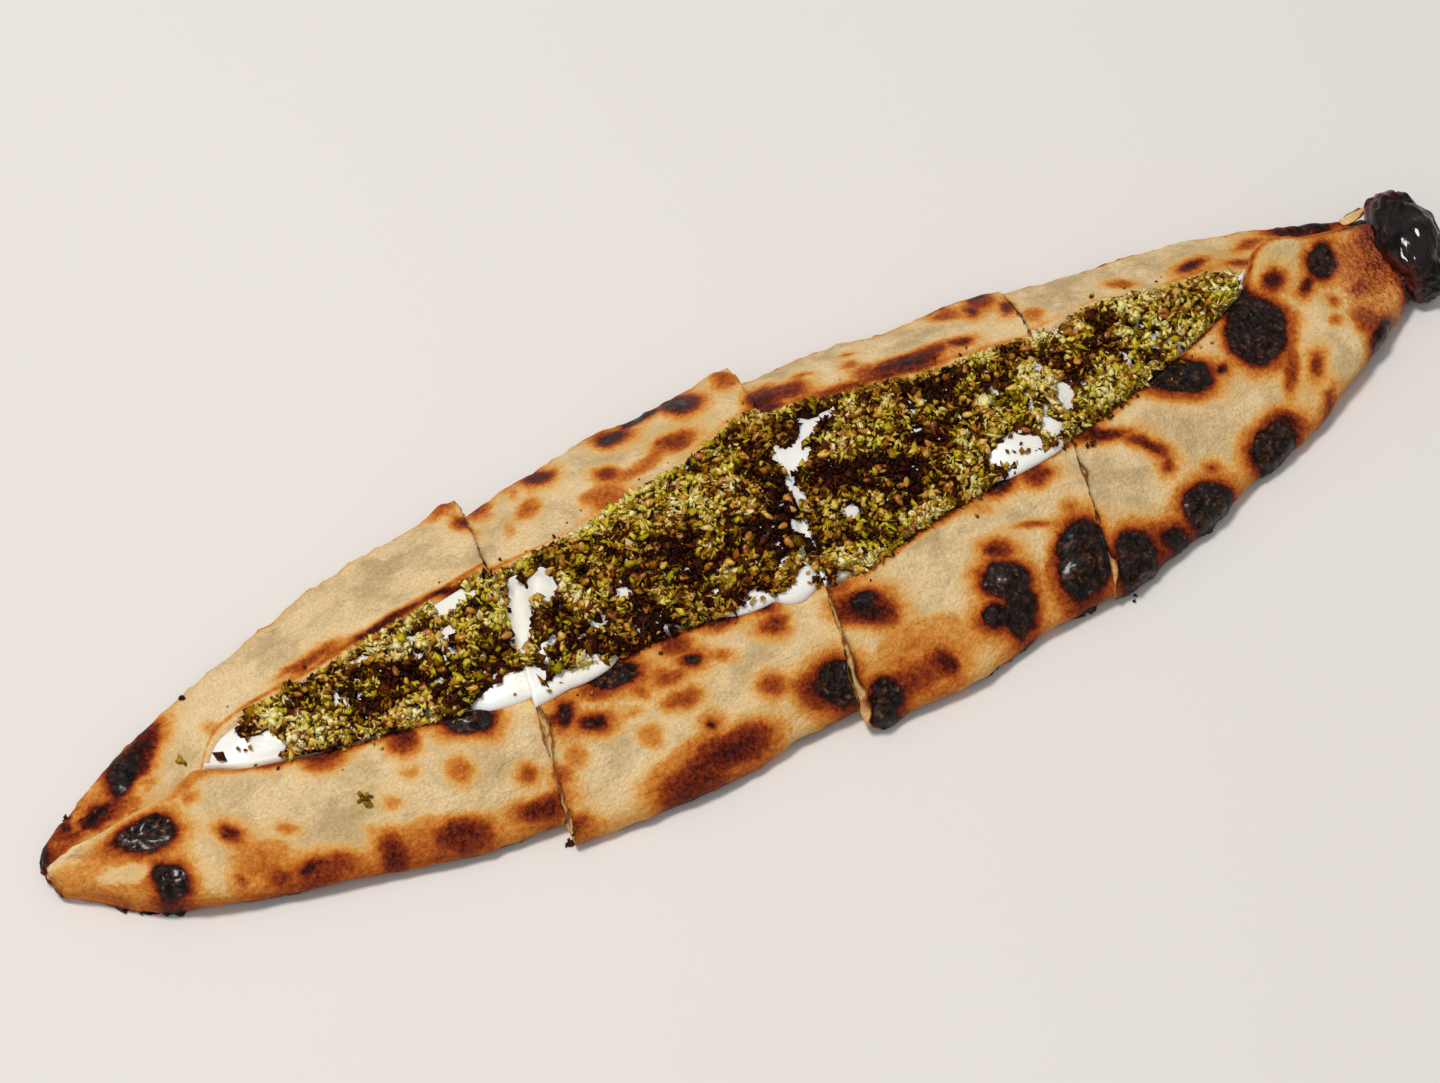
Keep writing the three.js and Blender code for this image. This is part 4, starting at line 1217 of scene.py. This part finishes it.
def makeLabnehSlice(index):
    start, end = span(index)
    first = start - labnehMesh["past"] - reachOver[index]
    last = end + labnehMesh["past"]
    s = np.linspace(first, last, int((end - start) / labnehMesh["step"]))
    s = s[mouthHalf(s) > filling["narrowest"]]
    pocketY, pocketZ = pocketLine(index, s)
    nearY, nearZ = pocketY[:, :1], pocketZ[:, :1]
    t = np.linspace(1, 0, labnehMesh["top"])
    topY, topZ = labnehTop(index, np.repeat(s, len(t)), np.tile(t, len(s)))
    topY, topZ = topY.reshape(len(s), -1), topZ.reshape(len(s), -1)

    # over the near lip: a rounded lobe from the top down to its foot on the flap
    pressed = pressedOut(s)[:, None]
    lipY, lipZ, footY, footZ = lobeFoot(index, s)
    angle = np.linspace(0, math.pi / 2, labnehMesh["lobe"] + 1)[1:]
    lobeY = mix(topY[:, -1:], mix(nearY, footY, pressed), np.sin(angle))
    lobeZ = mix(mix(nearZ, footZ, pressed), topZ[:, -1:], np.cos(angle))
    underY, underZ = mix(nearY, lipY + filling["gap"], pressed), mix(nearZ, lipZ, pressed)
    ringY = np.concatenate([pocketY, topY, lobeY, underY], 1)
    ringZ = np.concatenate([pocketZ, topZ, lobeZ, underZ], 1)
    points = place(index, s[:, None], ringY, ringZ)

    nearLip, _, farLip, _ = lipEdges(index, s)
    beside = np.maximum(nearLip[:, None] - ringY, ringY - farLip[:, None])
    inPocket = np.arange(ringY.shape[1]) < pocketY.shape[1]
    for row, toward in ((0, 1), (-1, -1)):
        if bed["start"] <= s[row] <= bed["end"]:
            fade = np.exp(-np.abs(s[:, None] - s[row]) / labnehMesh["drawnFade"])
            back = labnehMesh["drawnBack"] * smooth(0.5, 5, beside) * fade
            points[..., 0] += toward * back * inPocket
    rows, columns = ringY.shape
    grid = np.arange(rows * columns).reshape(rows, columns)
    faces = [gridFaces(np.concatenate([grid, grid[:, :1]], 1))]
    points = points.reshape(-1, 3)

    # both ends bulge a little towards the neighbouring slice
    for row, out in ((0, -1), (rows - 1, 1)):
        ring = points[grid[row]]
        outer = grid[row]
        for shrink, bulge in labnehMesh["endRings"]:
            smaller = mix(ring.mean(0), ring, shrink)
            smaller[:, 0] += out * bulge
            inner = len(points) + np.arange(len(ring))
            points = np.concatenate([points, smaller])
            pair = np.array([np.append(outer, outer[0]), np.append(inner, inner[0])])
            faces.append(gridFaces(pair, flip=out < 0))
            outer = inner
    return points, np.concatenate(faces)


for index in range(sliceCount):
    points, faces = makeLabnehSlice(index)
    piece = makeMesh(f"labnehSlice{index + 1}", points, faces, [labneh])
    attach(piece, "root")
    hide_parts(f"labneh_{index + 1}")
print("labneh in place")


# Za'atar

zaatar = dict(
    step=0.7, columns=64, seed=7,
    flakes=15000, flakeLength=(1.0, 3.0), flakeWidth=(0.4, 0.85), flakeThick=(0.25, 0.75),
    flakeTilt=0.8, flakeRise=(-0.3, 1.0), flakeJitter=0.18,
    leaves=900, leafLength=(3.0, 4.6),
    seeds=230, seedSize=(2.8, 1.85, 1.3), seedRise=(0.0, 0.9),
    specks=320, speckSize=(0.6, 1.4),
    sumacBits=60, sumacSize=(0.9, 1.5),
    holesAt=(-60, -30, 40, 70),
    holes=(0.5, 0.64, 0.7, 0.54),  # the lower, the more labneh shows between the herbs there
    palerAt=(-64, -30, 30, 66),
    paler=(0.14, 0.03, 0.05, 0.17),  # how much paler the herbs are there
    overLip=1.0,  # how far the bed reaches over the near lip, and how high
    lipRise=0.8,
)


def coverage(points):
    speckle = noise(points, 2.6, 121) + 0.5 * noise(points, 1.2, 122)
    limit = np.interp(points[..., 0], zaatar["holesAt"], zaatar["holes"])
    return (1 - inPatches(points, barePatches)) * (1 - smooth(0, 0.12, speckle - limit))


def bedTop(index, s, t):
    y, z = labnehTop(index, s, t)
    start, end = span(index)
    ends = smooth(bed["start"] - 1, bed["start"] + 7, s) * smooth(bed["end"] + 6, bed["end"] - 4, s)
    cover = ends * coverage(place(index, s, y, z))
    nearward = cover * (1 - pressedOut(s)) * smooth(0.16, 0, t)
    y = y - zaatar["overLip"] * nearward
    z = z + zaatar["lipRise"] * nearward
    p = place(index, s, y, z)
    rim = smooth(-0.03, 0.05, t) * smooth(1.03, 0.95, t)
    if index > 0:
        rim = rim * smooth(start - 1.5, start + 1.6, s)
    if index < sliceCount - 1:
        rim = rim * smooth(end + 1.5, end - 1.6, s)
    lumps = 0.6 * roughNoise(p, 5, 101) + 0.35 * noise(p, 1.7, 102)
    return y, z, z - 0.35 + cover * (0.35 + rim * (bed["thickness"] * 0.7 + lumps)), cover


def makeBed(index):
    start, end = span(index)
    first, last = max(start - 0.4, bed["start"]), min(end + 0.4, bed["end"] + 5)
    s = np.linspace(first, last, int((end - start) / zaatar["step"]))
    t = np.linspace(0, 1, zaatar["columns"])
    column = np.repeat(s, len(t))
    row = np.tile(t, len(s))
    y, under, top, _ = bedTop(index, column, row)
    shape = (len(s), len(t))
    upper = place(index, column, y, top).reshape(shape + (3,))
    lower = place(index, column, y, under - 0.9).reshape(shape + (3,))
    n = len(s) * len(t)
    topGrid = np.arange(n).reshape(shape)
    lowGrid = n + topGrid
    sides = [
        gridFaces(np.array([lowGrid[:, 0], topGrid[:, 0]])),
        gridFaces(np.array([lowGrid[:, -1], topGrid[:, -1]]), flip=True),
        gridFaces(np.array([lowGrid[0], topGrid[0]]), flip=True),
        gridFaces(np.array([lowGrid[-1], topGrid[-1]])),
    ]
    faces = np.concatenate([gridFaces(topGrid, flip=True), gridFaces(lowGrid)] + sides)
    points = np.concatenate([upper.reshape(-1, 3), lower.reshape(-1, 3)])
    # The bed's low tone is the herbs' own brown with painted shade: it stands for the shadow down between
    # the flakes.
    tone = 0.16 + 0.22 * noise(points, 1.4, 103) + 0.16 * noise(points, 5, 104)
    stained = smooth(0.15, 0.7, noise(points, 3.4, 105)) * (1 - inPatches(points, darkPatches, 2))
    tone = tone + 0.5 * stained - 0.2 * inPatches(points, darkPatches, 2)
    tone = tone + 0.2 * inPatches(points, greenPatches, 2)
    return points, faces, dict(tone=np.clip(tone, 0, 1), green=np.full(len(points), 0.5))


for index in range(sliceCount):
    points, faces, values = makeBed(index)
    piece = makeMesh(f"zaatarBed{index + 1}", points, faces, [herb], values)
    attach(piece, "root")
    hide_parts(f"zaatar_{index + 1}")
print("za'atar bed in place")


# Random places on the bed, with more of them along both lips and the cuts.
def scatterPlaces(count, random):
    tries = count * 3
    s = random.uniform(bed["start"] - 1, bed["end"] + 5, tries)
    t = random.uniform(0, 1, tries)
    share = random.uniform(0, 1, tries)
    t = np.where(share < 0.13, 0.08 * t - 0.03, np.where(share > 0.95, 1.02 - 0.05 * t, t))
    atCut = np.array(cuts["at"])[random.integers(0, 3, tries)] + random.normal(0, 1.1, tries)
    s = np.where((share > 0.2) & (share < 0.26), atCut, s)
    chance = random.uniform(0, 1, tries) * mouthHalf(0.0)
    owner = np.searchsorted(cuts["at"], s)
    points = np.zeros((tries, 3))
    cover = np.zeros(tries)
    for index in range(sliceCount):
        mine = owner == index
        y, _, top, full = bedTop(index, s[mine], t[mine])
        points[mine] = place(index, s[mine], y, top)
        cover[mine] = full
    keep = (chance < mouthHalf(s)) & (cover > 0.35 + 0.2 * random.uniform(-1, 1, tries))
    return points[keep][:count]


# Turns each copy of a small form its own way and sets it down at its place.
def scatter(form, faces, places, sizes, random, tilt):
    count = len(places)
    yaw = random.uniform(0, 2 * math.pi, count)
    pitch = random.normal(0, tilt, count)
    roll = random.normal(0, tilt, count)
    p = form[None] * sizes[:, None, :]
    for angle, a, b in ((roll, 1, 2), (pitch, 2, 0), (yaw, 0, 1)):
        c, s = np.cos(angle)[:, None], np.sin(angle)[:, None]
        first, second = p[..., a] * c - p[..., b] * s, p[..., a] * s + p[..., b] * c
        p[..., a], p[..., b] = first, second
    p = p + places[:, None, :]
    allFaces = (faces[None] + len(form) * np.arange(count)[:, None, None]).reshape(-1, faces.shape[1])
    return p.reshape(-1, 3), allFaces


# a chip: four corners round a raised and a lowered middle
chip = np.array([
    (0.5, 0, 0), (0.05, 0.5, 0.1), (-0.5, 0, 0), (-0.05, -0.5, 0.1),
    (0, 0, 0.6), (0, 0, -0.5),
])
chipFaces = np.array([
    (0, 1, 4), (1, 2, 4), (2, 3, 4), (3, 0, 4),
    (1, 0, 5), (2, 1, 5), (3, 2, 5), (0, 3, 5),
])


herbTones = dict(  # how light a flake is by where its random pick falls
    pick=(0, 0.36, 0.5, 0.62, 0.76, 0.92, 1.2),
    tone=(0, 0.12, 0.38, 0.56, 0.7, 0.84, 1),
)


def makeFlakes():
    random = np.random.default_rng(zaatar["seed"])
    places = scatterPlaces(zaatar["flakes"], random)
    count = len(places)
    length = random.uniform(*zaatar["flakeLength"], count)
    length[: zaatar["leaves"]] = random.uniform(*zaatar["leafLength"], zaatar["leaves"])
    width = length * random.uniform(*zaatar["flakeWidth"], count)
    thick = random.uniform(*zaatar["flakeThick"], count)
    sizes = np.stack([length, width, thick], -1)
    points, faces = scatter(chip, chipFaces, places, sizes, random, zaatar["flakeTilt"])
    points += random.normal(0, zaatar["flakeJitter"], points.shape)
    points[:, 2] += np.repeat(random.uniform(*zaatar["flakeRise"], count), len(chip))
    dark = inPatches(places, darkPatches, 3)
    green = inPatches(places, greenPatches, 3)
    pick = random.uniform(0.12, 0.88, count)
    pick = pick + 0.3 * noise(places, 9, 111) + 0.5 * noise(places, 4.2, 112)
    pick = pick + np.interp(places[:, 0], zaatar["palerAt"], zaatar["paler"])
    pick = pick - 0.45 * dark + 0.25 * green
    tone = np.interp(pick, herbTones["pick"], herbTones["tone"])
    greenness = random.uniform(-0.3, 1.1, count) + 0.4 * noise(places, 6, 113) + 0.4 * green
    # Darker flakes sink and paler ones rise, so tone follows height: painted shade down between the
    # flakes and painted light on the raised ones.
    points[:, 2] += np.repeat(0.5 * (tone - 0.4), len(chip))
    each = dict(tone=tone, green=np.clip(greenness, 0, 1))
    each = {key: np.repeat(value, len(chip)) for key, value in each.items()}
    return points, closeTriangles(faces), each


def makeSeeds():
    random = np.random.default_rng(zaatar["seed"] + 1)
    places = scatterPlaces(zaatar["seeds"], random)
    count = len(places)
    form, faces = ball(3, 0.5)
    form[:, 1] *= 1 - 0.5 * (form[:, 0] + 0.5) ** 1.6  # one end is pointed
    sizes = np.array(zaatar["seedSize"]) * random.uniform(0.8, 1.08, (count, 1))
    places[:, 2] += random.uniform(*zaatar["seedRise"], count)
    points, allFaces = scatter(form, faces, places, sizes, random, 0.45)
    tone = np.repeat(np.clip(random.normal(0.55, 0.28, count), 0, 1), len(form))
    return points, closeTriangles(allFaces), dict(tone=tone)


def makeBits(count, sizeRange, seed):
    random = np.random.default_rng(seed)
    places = scatterPlaces(count, random)
    sizes = random.uniform(*sizeRange, (len(places), 1))
    sizes = sizes * random.uniform((0.8, 0.3, 0.3), (1, 0.7, 0.6), (len(places), 3))
    places[:, 2] += random.uniform(0.1, 0.6, len(places))
    points, faces = scatter(chip, chipFaces, places, sizes, random, 1.0)
    return points + random.normal(0, 0.04, points.shape), closeTriangles(faces)


points, faces, values = makeFlakes()
flakes = makeMesh("herbFlakes", points, faces, [herb], values)
points, faces, values = makeSeeds()
seeds = makeMesh("sesameSeeds", points, faces, [sesame], values)
points, faces = makeBits(zaatar["specks"], zaatar["speckSize"], 21)
specks = makeMesh("labnehSpecks", points, faces, [labneh])
points, faces = makeBits(zaatar["sumacBits"], zaatar["sumacSize"], 22)
reds = makeMesh("sumacBits", points, faces, [sumac], smoothed=False)
for piece in (flakes, seeds, specks, reds):
    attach(piece, "root")
    print(f"{piece.name}: {len(piece.data.polygons)} faces")


# Loose bits on and beside the bread

strewn = [  # x, y, reach, how many, size, tone
    (-107, -20.5, 2.0, 12, 1.7, 0.42), (-136, 8, 1.3, 5, 1.8, 0.5), (-129.4, 2.8, 0.1, 1, 3.6, 0),
    (-122, 5, 4, 9, 1.9, 0.4), (52, -12, 5, 8, 1.7, 0.35), (-4, -20, 2.5, 4, 1.5, 0.5),
    (-62, -16, 4, 4, 1.3, 0.3), (-130, 23, 0.6, 4, 1.9, 0.05), (-162, 9.5, 1.0, 5, 1.9, 0.05),
    (-5, -47, 1.6, 7, 2.0, 0.05), (-73, -43.5, 1.0, 5, 2.4, 0.2), (60, -46, 1.2, 6, 1.8, 0),
    (66.5, -12, 1.0, 7, 1.8, 0.05), (68, -16, 1.0, 5, 1.6, 0.1), (1.5, 14, 1.4, 5, 1.6, 0.1),
]
dust = dict(count=150, reach=5, size=(0.5, 1.5), seed=31)  # za'atar that fell beside the lips


def surfaceUnder(points):
    bpy.context.view_layer.update()
    seen = bpy.context.view_layer.depsgraph
    heights = []
    for x, y, _ in points:
        above = Vector(((x + boatMiddle[0]) * mm, (y + boatMiddle[1]) * mm, 0.1))
        hit, spot, *_ = bpy.context.scene.ray_cast(seen, above, (0, 0, -1))
        heights.append(spot.z / mm if hit else 0)
    return np.array(heights)


def makeLoose():
    random = np.random.default_rng(dust["seed"])
    places, sizes, tones = [], [], []
    for x, y, reach, howMany, size, tone in strewn:
        places.append(np.array((x, y, 0)) + random.normal(0, (reach / 2, reach / 2, 0), (howMany, 3)))
        sizes.append(size * random.uniform(0.6, 1.1, howMany))
        tones.append(tone + random.uniform(-0.1, 0.2, howMany))
    s = random.uniform(bed["start"], bed["end"], dust["count"])
    side = random.integers(0, 2, dust["count"])
    out = dust["reach"] * random.uniform(0, 1, dust["count"]) ** 2
    beside = np.zeros((dust["count"], 3))
    for index in range(sliceCount):
        mine = np.searchsorted(cuts["at"], s) == index
        nearY, _, farY, _ = lipEdges(index, s[mine])
        y = np.where(side[mine] == 0, nearY - out[mine], farY + out[mine])
        beside[mine] = place(index, s[mine], y, 0)
    places.append(beside)
    sizes.append(random.uniform(*dust["size"], dust["count"]))
    tones.append(random.uniform(0.1, 0.75, dust["count"]))
    places, sizes, tones = [np.concatenate(rows) for rows in (places, sizes, tones)]
    places[:, 2] = surfaceUnder(places) + 0.3 * sizes
    shape = sizes[:, None] * random.uniform((0.9, 0.45, 0.35), (1.1, 0.8, 0.8), (len(sizes), 3))
    points, faces = scatter(chip, chipFaces, places, shape, random, 0.5)
    points += random.normal(0, 0.08, points.shape)
    points[:, 2] = np.maximum(points[:, 2], 0)
    each = dict(tone=np.repeat(np.clip(tones, 0, 1), len(chip)), green=np.full(len(points), 0.4))
    return points, closeTriangles(faces), each


points, faces, values = makeLoose()
loose = makeMesh("looseBits", points, faces, [herb], values, smoothed=False)
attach(loose, "root")
print("loose bits in place")


# Floor, light and camera

studio = dict(
    floor=3.0, skyColour=(1.0, 0.99, 0.98), skyStrength=0.36,
    keyPower=12.5, keySize=0.3, keyAt=(-0.3, 0.22, 1.38), keyColour=(1.0, 0.98, 0.96),
    fillPower=1.6, fillSize=1.2, fillAt=(-0.7, -0.6, 0.8),
)
shot = dict(elevation=55, azimuth=-28.4, lens=85, distance=738, target=(-10.4, 8.5, 0))


def makeStudio():
    bpy.ops.mesh.primitive_plane_add(size=studio["floor"])
    floor = bpy.context.object
    floor.name = "floor"
    floor.data.materials.append(makeFloorLook())
    world = bpy.data.worlds.new("Soft sky")
    bpy.context.scene.world = world
    world.use_nodes = True
    background = world.node_tree.nodes["Background"]
    background.inputs["Color"].default_value = (*studio["skyColour"], 1)
    background.inputs["Strength"].default_value = studio["skyStrength"]
    for name in ("key", "fill"):
        light = bpy.data.lights.new(name, "AREA")
        light.energy = studio[name + "Power"]
        light.size = studio[name + "Size"]
        light.color = studio["keyColour"]
        lamp = bpy.data.objects.new(name, light)
        lamp.location = studio[name + "At"]
        lamp.rotation_euler = (-Vector(studio[name + "At"])).to_track_quat("-Z", "Y").to_euler()
        bpy.context.scene.collection.objects.link(lamp)


def makeCamera():
    elevation, azimuth = math.radians(shot["elevation"]), math.radians(shot["azimuth"])
    back = Vector((
        math.sin(azimuth) * math.cos(elevation),
        -math.cos(azimuth) * math.cos(elevation),
        math.sin(elevation),
    ))
    target = (Vector(shot["target"]) + Vector((*boatMiddle, 0))) * mm
    camera = bpy.data.objects.new("camera", bpy.data.cameras.new("camera"))
    camera.data.lens = shot["lens"]
    camera.location = target + back * shot["distance"] * mm
    camera.rotation_euler = (-back).to_track_quat("-Z", "Y").to_euler()
    bpy.context.scene.collection.objects.link(camera)
    bpy.context.scene.camera = camera


makeStudio()
makeCamera()
bpy.context.scene.view_settings.view_transform = "Standard"
print("studio ready")
